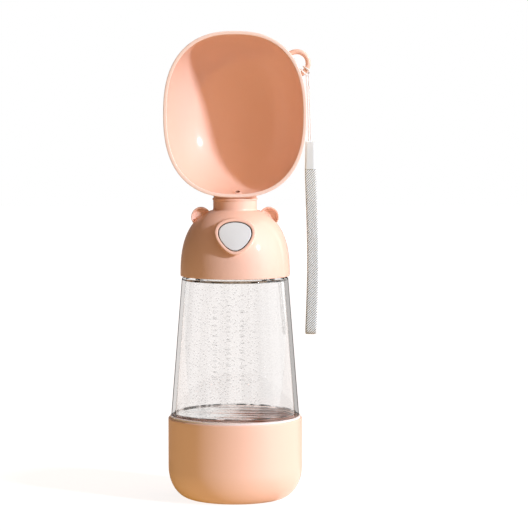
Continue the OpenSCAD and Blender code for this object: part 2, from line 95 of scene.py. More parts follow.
cap_r = box_mm("cap_dome")[1][0]
cap_z, neck_z = box_mm("cap_dome")[0][2], box_mm("cap_dome")[1][2]
neck_h = 3.7
dome_h = neck_z - neck_h - cap_z
dome_power = 2.6
cap_wall = 2.0
neck_r = 11.6
neck_in_r = neck_r - cap_wall
neck_fillet = 1.4

ear_low, ear_high = box_mm("right_ear")
ear_r = 5.2
ear_x, ear_z = ear_high[0] - ear_r, ear_high[2] - ear_r
ear_rim = 0.6
ear_hollow = 2.3  # how deep the ear's front is dished

button_w = 8.65
button_h = 7.7
button_flare = 0.28
button_rise = 22.6
button_z = cap_z + button_rise
bezel_wall = 1.65
bezel_back = box_mm("button_bezel")[1][1]
button_gap = 0.45
button_inset = 0.3
button_wall = 1.3
face_tilt = math.radians(20)
dome_front = -cap_r * (1 - (button_rise / dome_h) ** dome_power) ** (1 / dome_power)
bezel_proud = 2.6
face_y = dome_front - bezel_proud
button_back = -18.0
boss_back = box_mm("button")[1][1]
boss_r = 4.2

collar_z = box_mm("neck_collar")[1][2]
collar_r = box_mm("neck_collar")[1][0]
spigot_z = box_mm("bowl_stem")[0][2]

bowl_low, bowl_high = box_mm("bowl")
bowl_w = bowl_high[0]
bowl_h = (bowl_high[2] - bowl_low[2]) / 2
bowl_z = (bowl_high[2] + bowl_low[2]) / 2
rim_y = bowl_low[1]
bowl_d = bowl_high[1] - rim_y
bowl_wall = 1.8
rim_power = 2.45
hollow_power = 2.45

nozzle_low, nozzle_high = box_mm("bowl_nozzle")
nozzle_r = (nozzle_high[0] - nozzle_low[0]) / 2
nozzle_bore_r = 1.1
nozzle_slant = 0.45
nozzle_slant_h = 2.5
nozzle_x, nozzle_y = ((nozzle_low + nozzle_high) / 2)[:2]

loop_low, loop_high = box_mm("lanyard_loop")
loop_r = 6.05
loop_bar_r = 1.35
loop_reach = loop_r + loop_bar_r
eye = np.array([loop_high[0] - loop_reach, (loop_low[1] + loop_high[1]) / 2, loop_high[2] - loop_reach])

cord_d = 0.9
strap_w = 5.8
strap_t = 1.0
crimp_w = (4.8, 5.4)  # at its top and at its foot
crimp_t = 3.4

# The hitch cord's route and the strap's, measured from the middle of the lanyard's eye
CORD_POINTS = [
    [6.6, -0.3, -41.2], [6.5, -0.2, -36.4], [6.2, -0.1, -27.4], [5.9, 0, -18.4],
    [5.6, 0.1, -11.4], [5.3, 0.9, -7.4], [5, 1.6, -5.2], [3.5, 1.9, -4.1], [2.5, 1, -3.4],
    [2.4, -0.6, -3.4], [3.2, -1.8, -4.3], [4.6, -1.9, -5.7], [6.1, -1.4, -6],
    [6.5, -1.9, -4.1], [4.8, -1.9, -2.5], [3.7, -0.8, -1.8], [3.7, 0.9, -1.8],
    [4.6, 1.9, -2.7], [6, 1.7, -4.3], [6.5, 0.9, -7], [6.6, 0.1, -11.4], [6.9, 0, -18.4],
    [7.2, -0.1, -27.4], [7.5, -0.2, -36.4], [7.6, -0.3, -41.2]]
STRAP_POINTS = [
    [7.3, -0.7, -55], [7.3, -0.7, -56], [7.4, -1, -60.4], [7.7, -1.5, -68.4],
    [8.1, -1.7, -79.4], [8.5, -1.8, -93.4], [8.6, -1.8, -109.4], [8.3, -1.8, -123.4],
    [7.9, -1.8, -135.4], [7.7, -1.6, -140.4], [7.7, -1, -142.2], [7.7, 0, -142.8],
    [7.7, 1, -142.2], [7.7, 1.6, -140.4], [7.9, 1.8, -135.4], [8.3, 1.8, -123.4],
    [8.6, 1.8, -109.4], [8.5, 1.8, -93.4], [8.1, 1.7, -79.4], [7.7, 1.5, -68.4],
    [7.4, 1, -60.4], [7.3, 0.7, -56], [7.3, 0.7, -55]]


# ---- camera ----

IMAGE_W, IMAGE_H = 528, 531
AXIS_PIXEL_X = 235  # where the bottle's axis stands in the image
FOCAL_PIXELS = 2502
TILT = 0.0753  # radians below level
EYE_HEIGHT = 0.2249
DISTANCE = 1.33


def make_camera():
    """A long lens in front of the bottle, level with the bowl's upper part and tilted a little down."""
    data = bpy.data.cameras.new("camera")
    data.lens = FOCAL_PIXELS * data.sensor_width / max(IMAGE_W, IMAGE_H)
    data.clip_start = 0.05
    camera = bpy.data.objects.new("camera", data)
    turn = math.atan((IMAGE_W / 2 - AXIS_PIXEL_X) / FOCAL_PIXELS)
    camera.location = (0, -DISTANCE, EYE_HEIGHT)
    camera.rotation_euler = (math.pi / 2 - TILT, 0, -turn)
    bpy.context.scene.collection.objects.link(camera)
    bpy.context.scene.camera = camera


make_camera()


# ---- meshes ----

def grid_quads(rows, columns, wrap_rows=False, wrap_columns=True):
    """The quads of a grid of points, numbered row by row; a wrapped way joins its end to its start."""
    i = np.arange(rows if wrap_rows else rows - 1)[:, None]
    j = np.arange(columns if wrap_columns else columns - 1)[None, :]
    below, beside = (i + 1) % rows, (j + 1) % columns
    cells = [i * columns + j, i * columns + beside, below * columns + beside, below * columns + j]
    return np.stack(cells, axis=-1).reshape(-1, 4)


def facing_out(points, quads):
    """The quads, turned over if the volume that they enclose came out negative."""
    a, b, c, d = (points[quads[:, k]] for k in range(4))
    volume = np.einsum("ij,ij->", a, np.cross(b, c)) + np.einsum("ij,ij->", a, np.cross(c, d))
    return quads if volume > 0 else quads[:, ::-1]


def make_piece(name, points, quads, material, body, replaced=None, uv=None, crease=40):
    """A smooth closed mesh from points in millimetres; points that meet, as at a pole, are merged."""
    points = points.reshape(-1, 3)
    quads = facing_out(points, quads)
    mesh = bpy.data.meshes.new(name)
    mesh.from_pydata((points * MM).tolist(), [], quads.tolist())
    if uv is not None:
        layer = mesh.uv_layers.new(name="UVMap")
        layer.data.foreach_set("uv", uv.reshape(-1, 2)[quads.ravel()].astype(np.float32).ravel())
    merge_poles(mesh)
    mesh.shade_smooth()
    mesh.set_sharp_from_angle(angle=math.radians(crease))
    mesh.materials.append(material)
    piece = bpy.data.objects.new(name, mesh)
    bpy.context.scene.collection.objects.link(piece)
    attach(piece, body)
    if replaced:
        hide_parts(replaced)
    return piece


def merge_poles(mesh):
    """Merges points that lie within a ten-thousandth of a millimetre of each other."""
    work = bmesh.new()
    work.from_mesh(mesh)
    bmesh.ops.remove_doubles(work, verts=work.verts, dist=1e-7)
    work.to_mesh(mesh)
    work.free()


def eased(corners, steps=6):
    """A line through corners (across, up, ease): each corner is cut back by its ease on both sides
    and bridged by the parabola that has the corner as its handle."""
    places = np.array([c[:2] for c in corners], float)
    line = []
    for i, (place, corner) in enumerate(zip(places, corners)):
        ease = corner[2] if len(corner) > 2 else 0
        if ease == 0 or i in (0, len(corners) - 1):
            line.append(place[None])
            continue
        ends = []
        for other in (places[i - 1], places[i + 1]):
            leg = other - place
            length = np.linalg.norm(leg)
            ends.append(place + leg / length * min(ease, 0.49 * length))
        t = np.linspace(0, 1, steps + 1)[:, None]
        line.append((1 - t) ** 2 * ends[0] + 2 * t * (1 - t) * place + t ** 2 * ends[1])
    return np.vstack(line)


def spaced(line, step):
    """The same line with points added, so that no leg of it is longer than step."""
    legs = np.linalg.norm(np.diff(line, axis=0), axis=1)
    parts = np.maximum(1, np.ceil(legs / step - 1e-6)).astype(int)
    legs = [a + (b - a) * np.linspace(0, 1, n, endpoint=False)[:, None]
            for a, b, n in zip(line, line[1:], parts)]
    return np.vstack(legs + [line[-1:]])


def turned(profile, around=192, relief=None):
    """A surface of revolution: each profile point (r, z) goes round Z at equally spaced angles.
    relief(angle, r, z) is added to the radius."""
    r, z = profile[:, :1], profile[:, 1:]
    angle = np.linspace(0, 2 * math.pi, around, endpoint=False)[None, :]
    if relief is not None:
        r = r + relief(angle, r, z)
    return np.stack([r * np.cos(angle), r * np.sin(angle), z + 0 * angle], axis=-1)


def ridge(angle, z, start, turns, first_turn=0.0):
    """Height of a thread's ridge: a trapezoid across a helix that rises by the pitch in a turn.
    It fades out over a tenth of a turn at both ends."""
    share = angle / (2 * math.pi)
    turn = (z - start) / pitch
    near = np.round(turn - share) + share
    off = np.abs(turn - near) * pitch
    flat = np.clip((ridge_root / 2 - off) / ((ridge_root - ridge_crest) / 2), 0, 1)
    along = near - first_turn
    fade = np.clip(np.minimum(along, turns - along) / 0.1, 0, 1)
    return ridge_h * flat * fade


def rounded(a, b, power, angle):
    """A point of the outline |x/a|^power + |y/b|^power = 1 at a parameter angle."""
    c, s = np.cos(angle), np.sin(angle)
    return a * np.sign(c) * np.abs(c) ** (2 / power), b * np.sign(s) * np.abs(s) ** (2 / power)


def smooth_route(points, per_leg=8):
    """A Catmull-Rom curve through the points: each leg is the cubic whose end slopes are half the
    step between the two points beside them."""
    p = np.array(points, float)
    padded = np.vstack([2 * p[0] - p[1], p, 2 * p[-1] - p[-2]])
    t = np.linspace(0, 1, per_leg, endpoint=False)[:, None]
    a, b, c, d = padded[:-3, None], padded[1:-2, None], padded[2:-1, None], padded[3:, None]
    curve = 0.5 * (2 * b + (c - a) * t + (2 * a - 5 * b + 4 * c - d) * t ** 2
                   + (3 * b - a - 3 * c + d) * t ** 3)
    return np.vstack([curve.reshape(-1, 3), p[-1:]])


def evenly(route, step):
    """Points along a route at equal steps of its length, of about the given size."""
    run = np.concatenate([[0], np.cumsum(np.linalg.norm(np.diff(route, axis=0), axis=1))])
    wanted = np.linspace(0, run[-1], int(round(run[-1] / step)) + 1)
    return np.stack([np.interp(wanted, run, route[:, k]) for k in range(3)], axis=-1), wanted


def carried(route, start):
    """At each point of a route: its heading, and two axes square to it, the first turned as little
    as possible from start on the way."""
    heading = np.gradient(route, axis=0)
    heading /= np.linalg.norm(heading, axis=1)[:, None]
    first = np.empty_like(route)
    axis = np.array(start, float)
    for i, way in enumerate(heading):
        axis = axis - axis @ way * way
        axis /= np.linalg.norm(axis)
        first[i] = axis
    return heading, first, np.cross(heading, first)


def swept(route, section, start):
    """A section of points (first axis, second axis) carried along a route. The section may differ
    at each point of the route. Each end is closed by a row at its middle."""
    heading, first, second = carried(route, start)
    section = np.broadcast_to(section, (len(route),) + section.shape[-2:])
    rows = (route[:, None] + section[..., :1] * first[:, None] + section[..., 1:] * second[:, None])
    ends = [np.broadcast_to(row.mean(0), row.shape)[None] for row in (rows[0], rows[-1])]
    return np.concatenate([ends[0], rows, ends[1]])


# ---- materials ----

def add(tree, kind, **settings):
    """A new node of a kind, with settings for its properties."""
    node = tree.nodes.new(kind)
    for name, value in settings.items():
        setattr(node, name, value)
    return node


def number(tree, operation, a, b=None, c=None, clamp=False):
    """A Math node on links or plain values; gives its output."""
    node = add(tree, "ShaderNodeMath", operation=operation, use_clamp=clamp)
    for socket, value in zip(node.inputs, (a, b, c)):
        put(tree, value, socket)
    return node.outputs[0]


def put(tree, value, socket):
    """Links an output to a socket, or sets the socket to a plain value."""
    if isinstance(value, bpy.types.NodeSocket):
        tree.links.new(value, socket)
    elif value is not None:
        socket.default_value = value


def blended(tree, share, a, b, clamp=True):
    """The colour between a and b at a share, or past them if the share isn't clamped."""
    node = add(tree, "ShaderNodeMix", data_type="RGBA")
    node.clamp_factor = clamp
    put(tree, share, node.inputs["Factor"])
    put(tree, a, node.inputs["A"])
    put(tree, b, node.inputs["B"])
    return node.outputs["Result"]


def choose(tree, share, a, b):
    """The number between a and b at a share."""
    node = add(tree, "ShaderNodeMix")
    put(tree, share, node.inputs["Factor"])
    put(tree, a, node.inputs["A"])
    put(tree, b, node.inputs["B"])
    return node.outputs["Result"]


def new_group(name, inputs, outputs):
    """An empty node group with named number inputs (name: value) and outputs (name: socket type)."""
    group = bpy.data.node_groups.new(name, "ShaderNodeTree")
    for label, value in inputs.items():
        socket = group.interface.new_socket(label, in_out="INPUT", socket_type="NodeSocketFloat")
        socket.default_value = value
    for label, kind in outputs.items():
        group.interface.new_socket(label, in_out="OUTPUT", socket_type=kind)
    return group, group.nodes.new("NodeGroupInput"), group.nodes.new("NodeGroupOutput")


def use_group(tree, group, **values):
    """The group placed in a material with its own values."""
    node = add(tree, "ShaderNodeGroup", node_tree=group)
    for label, value in values.items():
        node.inputs[label.replace("_", " ")].default_value = value
    return node


def make_moulded_skin():
    """The skin of moulded plastic: a fine matt grain from the mould, a broad slow change of tone, and
    faint rubbed patches. Height is for a bump, Tone and Rub are masks from 0 to 1."""
    group, given, out = new_group(
        "moulded_skin", {"Grain Size": 0.4, "Tone Size": 40.0},
        {"Height": "NodeSocketFloat", "Tone": "NodeSocketFloat", "Rub": "NodeSocketFloat"})
    place = add(group, "ShaderNodeTexCoord").outputs["Object"]
    metres = 1 / MM
    grain = add(group, "ShaderNodeTexNoise")
    put(group, place, grain.inputs["Vector"])
    put(group, number(group, "DIVIDE", metres, given.outputs["Grain Size"]), grain.inputs["Scale"])
    grain.inputs["Detail"].default_value = 2
    tone = add(group, "ShaderNodeTexNoise")
    put(group, place, tone.inputs["Vector"])
    put(group, number(group, "DIVIDE", metres, given.outputs["Tone Size"]), tone.inputs["Scale"])
    rub = add(group, "ShaderNodeTexNoise")
    put(group, place, rub.inputs["Vector"])
    rub.inputs["Scale"].default_value = 120
    rub.inputs["Detail"].default_value = 5
    rub.inputs["Distortion"].default_value = 1.5
    put(group, grain.outputs["Fac"], out.inputs["Height"])
    put(group, tone.outputs["Fac"], out.inputs["Tone"])
    put(group, number(group, "MULTIPLY_ADD", rub.outputs["Fac"], 5, -2.4, clamp=True), out.inputs["Rub"])
    return group


moulded_skin = make_moulded_skin()


def plastic(name, colour, shade, roughness, rubbed, grain_depth, grain_size=0.4, **plain):
    """Moulded plastic: its colour drifts slightly towards its shade, its gloss varies with rubbing,
    and its surface has the mould's grain."""
    material = bpy.data.materials.new(name)
    material.use_nodes = True
    tree = material.node_tree
    shader = tree.nodes["Principled BSDF"]
    for label, value in plain.items():
        shader.inputs[label.replace("_", " ")].default_value = value
    skin = use_group(tree, moulded_skin, Grain_Size=grain_size)
    put(tree, blended(tree, skin.outputs["Tone"], colour, shade), shader.inputs["Base Color"])
    change = number(tree, "MULTIPLY_ADD", skin.outputs["Rub"], rubbed - roughness, roughness)
    put(tree, change, shader.inputs["Roughness"])
    bump = add(tree, "ShaderNodeBump")
    bump.inputs["Strength"].default_value = 0.5
    bump.inputs["Distance"].default_value = grain_depth * MM
    put(tree, skin.outputs["Height"], bump.inputs["Height"])
    put(tree, bump.outputs["Normal"], shader.inputs["Normal"])
    return material


def peach_plastic(name, coat=0.3, coat_roughness=0.1):
    """The peach plastic of the mouldings, matt below and with a thin polish on top."""
    return plastic(name, (0.92, 0.64, 0.51, 1), (0.91, 0.62, 0.485, 1), 0.6, 0.65, 0.03,
                   Specular_IOR_Level=1.0, Coat_Weight=coat, Coat_Roughness=coat_roughness)


peach = peach_plastic("peach_plastic")
grey = plastic("grey_plastic", (0.76, 0.88, 0.91, 1), (0.74, 0.86, 0.89, 1), 0.35, 0.42, 0.02)
pale = plastic("pale_plastic", (0.77, 0.93, 0.98, 1), (0.74, 0.9, 0.95, 1), 0.4, 0.5, 0.02)
white = plastic("white_plastic", (0.85, 0.85, 0.84, 1), (0.82, 0.82, 0.81, 1), 0.4, 0.45, 0.02)
silicone = plastic("silicone", (0.88, 0.87, 0.86, 1), (0.85, 0.84, 0.83, 1), 0.55, 0.6, 0.02)
grey_silicone = plastic("grey_silicone", (0.45, 0.45, 0.45, 1), (0.42, 0.42, 0.42, 1), 0.6, 0.65, 0.02)
black_rubber = plastic("black_rubber", (0.02, 0.02, 0.02, 1), (0.03, 0.03, 0.03, 1), 0.6, 0.7, 0.02)
spring_steel = plastic("spring_steel", (0.6, 0.6, 0.61, 1), (0.55, 0.55, 0.56, 1), 0.25, 0.35, 0.01,
                       Metallic=1.0)


def recoloured(material, share, colour):
    """Blends a plastic's colour towards another one at a share worked out in its own nodes."""
    socket = material.node_tree.nodes["Principled BSDF"].inputs["Base Color"]
    put(material.node_tree, blended(material.node_tree, share, socket.links[0].from_socket, colour), socket)


def paint_lip_highlight(material):
    """A painted highlight: lightens a bowl's plastic on the flat of its lip. The share falls from 1 to 0
    over a quarter millimetre behind the rim."""
    tree = material.node_tree
    fade = 0.25
    x, y, z = parted(tree, add(tree, "ShaderNodeTexCoord").outputs["Object"])
    lip = number(tree, "MULTIPLY_ADD", y, -1 / (fade * MM), (rim_y + 0.1) / fade + 1, clamp=True)
    recoloured(material, lip, (0.97, 0.82, 0.73, 1))


def paint_gap_shade(material):
    """Paints shade on a button's sides: darkens its plastic from a depth behind its tilted face, so that
    the gap round it shows as a dark line of shade.
    """
    tree = material.node_tree
    start, fade = 0.7, 0.3
    x, y, z = parted(tree, add(tree, "ShaderNodeTexCoord").outputs["Object"])
    slope = math.tan(face_tilt)
    behind = number(tree, "MULTIPLY_ADD", z, -slope, number(tree, "SUBTRACT", y, face_y * MM))
    depth = number(tree, "ADD", behind, button_z * slope * MM)
    side = number(tree, "MULTIPLY_ADD", depth, 1 / (fade * MM), -start / fade, clamp=True)
    recoloured(material, side, (0.03, 0.025, 0.02, 1))


def paint_bore_shade(material, middle, bore_r):
    """Paints shade inside an upright bore of that radius round a middle point: darkens the plastic there.
    """
    tree = material.node_tree
    fade = 0.1
    x, y, z = parted(tree, add(tree, "ShaderNodeTexCoord").outputs["Object"])
    aside = number(tree, "SUBTRACT", x, middle[0] * MM)
    behind = number(tree, "SUBTRACT", y, middle[1] * MM)
    radius = number(tree, "SQRT", number(tree, "ADD", number(tree, "MULTIPLY", aside, aside),
                                         number(tree, "MULTIPLY", behind, behind)))
    inside = number(tree, "MULTIPLY_ADD", radius, -1 / (fade * MM), bore_r / fade + 1.5, clamp=True)
    recoloured(material, inside, (0.27, 0.1, 0.04, 1))


def make_dew_shading():
    """Dew drawn with painted light: small round drops scattered over the wall, each with painted shade
    below, down to -1, and a painted highlight above, up to 0.5. Fog is 1 on the front, up to an
    azimuth from straight ahead towards the right; past it the drops' painted light is fainter."""
    group, given, out = new_group("dew", {"Drops Apart": 1.35, "Drop Share": 0.36, "Fog To": 27.0},
                                  {"Shade": "NodeSocketFloat", "Fog": "NodeSocketFloat"})
    place = add(group, "ShaderNodeTexCoord").outputs["Object"]
    spots = []
    for height in (0, -0.55):
        shifted = add(group, "ShaderNodeVectorMath", operation="ADD")
        put(group, place, shifted.inputs[0])
        shifted.inputs[1].default_value = (0, 0, height * MM)
        drops = add(group, "ShaderNodeTexVoronoi")
        put(group, shifted.outputs[0], drops.inputs["Vector"])
        put(group, number(group, "DIVIDE", 1 / MM, given.outputs["Drops Apart"]), drops.inputs["Scale"])
        inside = number(group, "SUBTRACT", given.outputs["Drop Share"], drops.outputs["Distance"])
        spots.append(number(group, "MULTIPLY", inside, 8, clamp=True))
    put(group, number(group, "MULTIPLY_ADD", spots[1], 0.5, number(group, "MULTIPLY", spots[0], -1)),
        out.inputs["Shade"])
    x, y, z = parted(group, place)
    azimuth = number(group, "ARCTAN2", x, number(group, "MULTIPLY", y, -1))
    limit = number(group, "RADIANS", given.outputs["Fog To"])
    before = number(group, "MULTIPLY", number(group, "SUBTRACT", limit, azimuth), 12)
    after = number(group, "MULTIPLY_ADD", azimuth, 3, 4)
    put(group, number(group, "MINIMUM", before, after, clamp=True), out.inputs["Fog"])
    return group


def make_level_marks():
    """Three upright columns of short plain dashes on the front, unevenly spaced: 1 on a dash."""
    group, given, out = new_group(
        "level_marks", {"Apart": 6.9, "First": -10.4, "Width": 2.3, "Step": 2.6, "Lowest": 66.0,
                        "Highest": 106.0}, {"Mark": "NodeSocketFloat"})
    x, y, z = parted(group, add(group, "ShaderNodeTexCoord").outputs["Object"])
    across = number(group, "SUBTRACT", number(group, "DIVIDE", x, MM), given.outputs["First"])
    across = number(group, "DIVIDE", across, given.outputs["Apart"])
    column = number(group, "ROUND", across)
    off = number(group, "ABSOLUTE", number(group, "SUBTRACT", across, column))
    off = number(group, "MULTIPLY", off, given.outputs["Apart"])
    within = number(group, "LESS_THAN", off, number(group, "MULTIPLY", given.outputs["Width"], 0.5))
    from_second = number(group, "ABSOLUTE", number(group, "SUBTRACT", column, 1))
    first_three = number(group, "LESS_THAN", from_second, 1.5)
    height = number(group, "DIVIDE", z, MM)
    between = number(group, "MULTIPLY", number(group, "GREATER_THAN", height, given.outputs["Lowest"]),
                     number(group, "LESS_THAN", height, given.outputs["Highest"]))
    dashes = add(group, "ShaderNodeTexVoronoi", voronoi_dimensions="1D")
    dashes.inputs["Scale"].default_value = 1
    steps = number(group, "DIVIDE", height, given.outputs["Step"])
    own_start = 37.3  # so that each column has its own run of dashes
    put(group, number(group, "MULTIPLY_ADD", column, own_start, steps), dashes.inputs["W"])
    dash = number(group, "MULTIPLY_ADD", dashes.outputs["Distance"], -8, 1.6, clamp=True)
    mark = number(group, "MULTIPLY", number(group, "MULTIPLY", within, first_three),
                  number(group, "MULTIPLY", between, dash))
    put(group, number(group, "MULTIPLY", mark, number(group, "LESS_THAN", y, 0)), out.inputs["Mark"])
    return group


def parted(tree, vector):
    """The three numbers of a vector."""
    split = add(tree, "ShaderNodeSeparateXYZ")
    put(tree, vector, split.inputs[0])
    return split.outputs[0], split.outputs[1], split.outputs[2]


CLEAR_COLOUR = (0.992, 0.997, 0.995, 1)
CLEAR_LEVEL = 0.93
# how strongly the dew's painted shade and highlights show
DEW_CONTRAST = 0.34
MARK_CONTRAST = 0.3
# painted shade: how much the clear wall's colour darkens towards its right side
RIGHT_SHADE = 0.055
# painted shade lines in the corner of wall and floor and on the shoulder: how dark they are in the body and
# at the edges
LINE_CONTRAST, EDGE_LINE_CONTRAST = 0.9, 0.7
CORNER_LINE = 0.75  # millimetres up the wall from the floor
SHOULDER_LINE, SHOULDER_DROP = 0.66, 0.85  # its width, and how far it lies below the shoulder
# painted shade where the wall is seen edge on: where it starts, and below, its grey levels on the left, on
# the right, at the outline and on the inner side
EDGE_FROM, INNER_EDGE_FROM, OUTLINE_FROM = 0.62, 0.81, 0.83  # how far edge on, where 1 is fully
EDGE_LEVEL, RIGHT_EDGE_LEVEL, OUTLINE_LEVEL, INNER_LEVEL = 0.8, 0.68, 0.34, 0.97


def make_clear_plastic():
    """Clear plastic: refracting, with painted shade that greys its wall the more it is seen edge on, more
    so on the right, and a little painted shade over its right side. Painted shade also draws a broken
    dark line in the corner of wall and floor and another on the shoulder. Its inner side has dew, drawn
    with painted light, and the level marks. Its floor has a wet shine in long bands, stronger on the
    left, and between them shows what lies under it. Shadow rays go through it, so that what it holds is
    lit."""
    material = bpy.data.materials.new("clear_plastic")
    material.use_nodes = True
    tree = material.node_tree
    shader = tree.nodes["Principled BSDF"]
    shader.inputs["Roughness"].default_value = 0.01
    shader.inputs["IOR"].default_value = 1.49
    shader.inputs["Transmission Weight"].default_value = 1
    place = add(tree, "ShaderNodeTexCoord").outputs["Object"]
    x, y, z = parted(tree, place)
    radius = number(tree, "SQRT", number(tree, "ADD", number(tree, "MULTIPLY", x, x),
                                         number(tree, "MULTIPLY", y, y)))
    slope = (wall_top_r - wall_foot_r) / (shoulder_z - wall_z)
    middle = number(tree, "MULTIPLY_ADD", z, slope, (wall_foot_r - slope * wall_z - wall_t / 2) * MM)
    inside = number(tree, "LESS_THAN", radius, middle)
    above = number(tree, "GREATER_THAN", z, (wall_z + floor_t + 1) * MM)
    below = number(tree, "LESS_THAN", z, (wall_z + floor_t + 0.2) * MM)
    outer_wall = number(tree, "GREATER_THAN", z, (wall_z + 0.3) * MM)

    # dew drops with painted shade below and a painted highlight above each
    dew = use_group(tree, make_dew_shading())
    amount = number(tree, "MULTIPLY_ADD", dew.outputs["Fog"], 0.7, 0.3)
    amount = number(tree, "MULTIPLY", amount, number(tree, "MULTIPLY", inside, above))
    # painted shade: the colour darkens towards the right side
    rightward = number(tree, "MULTIPLY_ADD", x, 1 / (8 * MM), -1, clamp=True)
    plain = number(tree, "MULTIPLY_ADD", rightward, -RIGHT_SHADE, CLEAR_LEVEL)
    level = number(tree, "MULTIPLY_ADD", number(tree, "MULTIPLY", dew.outputs["Shade"], amount),
                   DEW_CONTRAST, plain)
    facing = add(tree, "ShaderNodeLayerWeight").outputs["Facing"]
    marks = use_group(tree, make_level_marks())
    mark = number(tree, "MULTIPLY", marks.outputs["Mark"], inside)
    level = number(tree, "MULTIPLY_ADD", mark, -MARK_CONTRAST, level)
    # painted shade: dark lines, broken up by noise, in the corner of wall and floor and just below the
    # shoulder
    ring = number(tree, "GREATER_THAN", radius, (wall_foot_r - wall_t - 0.5) * MM)
    corner = number(tree, "MULTIPLY", number(tree, "MULTIPLY", inside, ring),
                    number(tree, "LESS_THAN", z, (wall_z + floor_t + CORNER_LINE) * MM))
    corner = number(tree, "MULTIPLY", corner, outer_wall)
    off = number(tree, "ABSOLUTE", number(tree, "SUBTRACT", z, (shoulder_z - SHOULDER_DROP) * MM))
    shoulder = number(tree, "MULTIPLY", number(tree, "LESS_THAN", off, SHOULDER_LINE / 2 * MM),
                      number(tree, "SUBTRACT", 1, inside))
    broken = add(tree, "ShaderNodeTexNoise")
    broken.inputs["Scale"].default_value = 160
    put(tree, place, broken.inputs["Vector"])
    broken = number(tree, "MULTIPLY_ADD", broken.outputs["Fac"], 8, -3.2, clamp=True)
    dark = number(tree, "MULTIPLY", number(tree, "ADD", corner, shoulder), broken)
    level = number(tree, "MULTIPLY_ADD", dark, -LINE_CONTRAST, level, clamp=True)
    put(tree, blended(tree, level, (0, 0, 0, 1), CLEAR_COLOUR), shader.inputs["Base Color"])
    # painted shade: where the wall is seen edge on it turns into a grey see-through, darker at the outline
    # and on the right
    edge = add(tree, "ShaderNodeBsdfTransparent")
    outline = number(tree, "MULTIPLY_ADD", facing, 30, -30 * OUTLINE_FROM, clamp=True)
    grey_level = choose(tree, number(tree, "MULTIPLY_ADD", x, 1 / (20 * MM), 0.5, clamp=True),
                        EDGE_LEVEL, RIGHT_EDGE_LEVEL)
    grey_level = choose(tree, outline, grey_level, OUTLINE_LEVEL)
    grey_level = choose(tree, inside, grey_level, INNER_LEVEL)
    grey_level = number(tree, "MULTIPLY_ADD", dark, -EDGE_LINE_CONTRAST, grey_level, clamp=True)
    put(tree, blended(tree, grey_level, (0, 0, 0, 1), CLEAR_COLOUR), edge.inputs["Color"])
    on_edge = number(tree, "SUBTRACT", facing, choose(tree, inside, EDGE_FROM, INNER_EDGE_FROM))
    on_edge = number(tree, "MULTIPLY", on_edge, 60, clamp=True)
    on_edge = number(tree, "MULTIPLY", on_edge, outer_wall)

    stretched = add(tree, "ShaderNodeMapping")
    stretched.inputs["Scale"].default_value = (1 / (30 * MM), 1 / (6 * MM), 0)
    put(tree, place, stretched.inputs["Vector"])
    bands = add(tree, "ShaderNodeTexNoise")
    bands.inputs["Scale"].default_value = 1
    bands.inputs["Detail"].default_value = 2
    put(tree, stretched.outputs[0], bands.inputs["Vector"])
    dry = number(tree, "MULTIPLY_ADD", x, 0.5 / (20 * MM), 0.5 - 1.5)
    dry = number(tree, "MULTIPLY_ADD", bands.outputs["Fac"], 3, dry, clamp=True)
    steep = number(tree, "MULTIPLY_ADD", facing, -3, 2.5, clamp=True)
    dry = number(tree, "MAXIMUM", dry, steep)
    on_floor = number(tree, "MULTIPLY", number(tree, "MULTIPLY", inside, below),
                      number(tree, "SUBTRACT", 1, corner))
    on_floor = number(tree, "MULTIPLY", on_floor, number(tree, "GREATER_THAN", z, (wall_z - 0.1) * MM))
    wet = add(tree, "ShaderNodeBsdfAnisotropic")
    wet.inputs["Color"].default_value = (1, 0.96, 0.94, 1)
    wet.inputs["Roughness"].default_value = 0.03
    open_floor = add(tree, "ShaderNodeBsdfTransparent")
    open_floor.inputs["Color"].default_value = (1, 0.84, 0.78, 1)
    through = add(tree, "ShaderNodeBsdfTransparent")
    through.inputs["Color"].default_value = (0.88, 0.88, 0.88, 1)
    light = add(tree, "ShaderNodeLightPath")
    either = number(tree, "MAXIMUM", light.outputs["Is Shadow Ray"], light.outputs["Is Diffuse Ray"])
    floor_shine = mixed_shaders(tree, dry, wet.outputs[0], open_floor.outputs[0])
    shown = mixed_shaders(tree, on_edge, shader.outputs[0], edge.outputs[0])
    shown = mixed_shaders(tree, on_floor, shown, floor_shine)
    whole = mixed_shaders(tree, either, shown, through.outputs[0])
    put(tree, whole, tree.nodes["Material Output"].inputs["Surface"])
    return material


def mixed_shaders(tree, share, first, second):
    """A share of the second shader over the first."""
    mix = add(tree, "ShaderNodeMixShader")
    put(tree, share, mix.inputs[0])
    put(tree, first, mix.inputs[1])
    put(tree, second, mix.inputs[2])
    return mix.outputs[0]


clear = make_clear_plastic()
# painted shade in the gap round the push button, on its sides
paint_gap_shade(grey)
bowl_peach = peach_plastic("bowl_peach", coat=0.4, coat_roughness=0.16)
# painted highlight on the flat of the bowl's lip
paint_lip_highlight(bowl_peach)
# the outlet's plastic, with painted shade in its bore
outlet_peach = peach_plastic("outlet_peach")
paint_bore_shade(outlet_peach, (nozzle_x, nozzle_y), nozzle_bore_r)


WALE = 1.3  # millimetres along the strap from one wale to the next
SLANT = -1.0


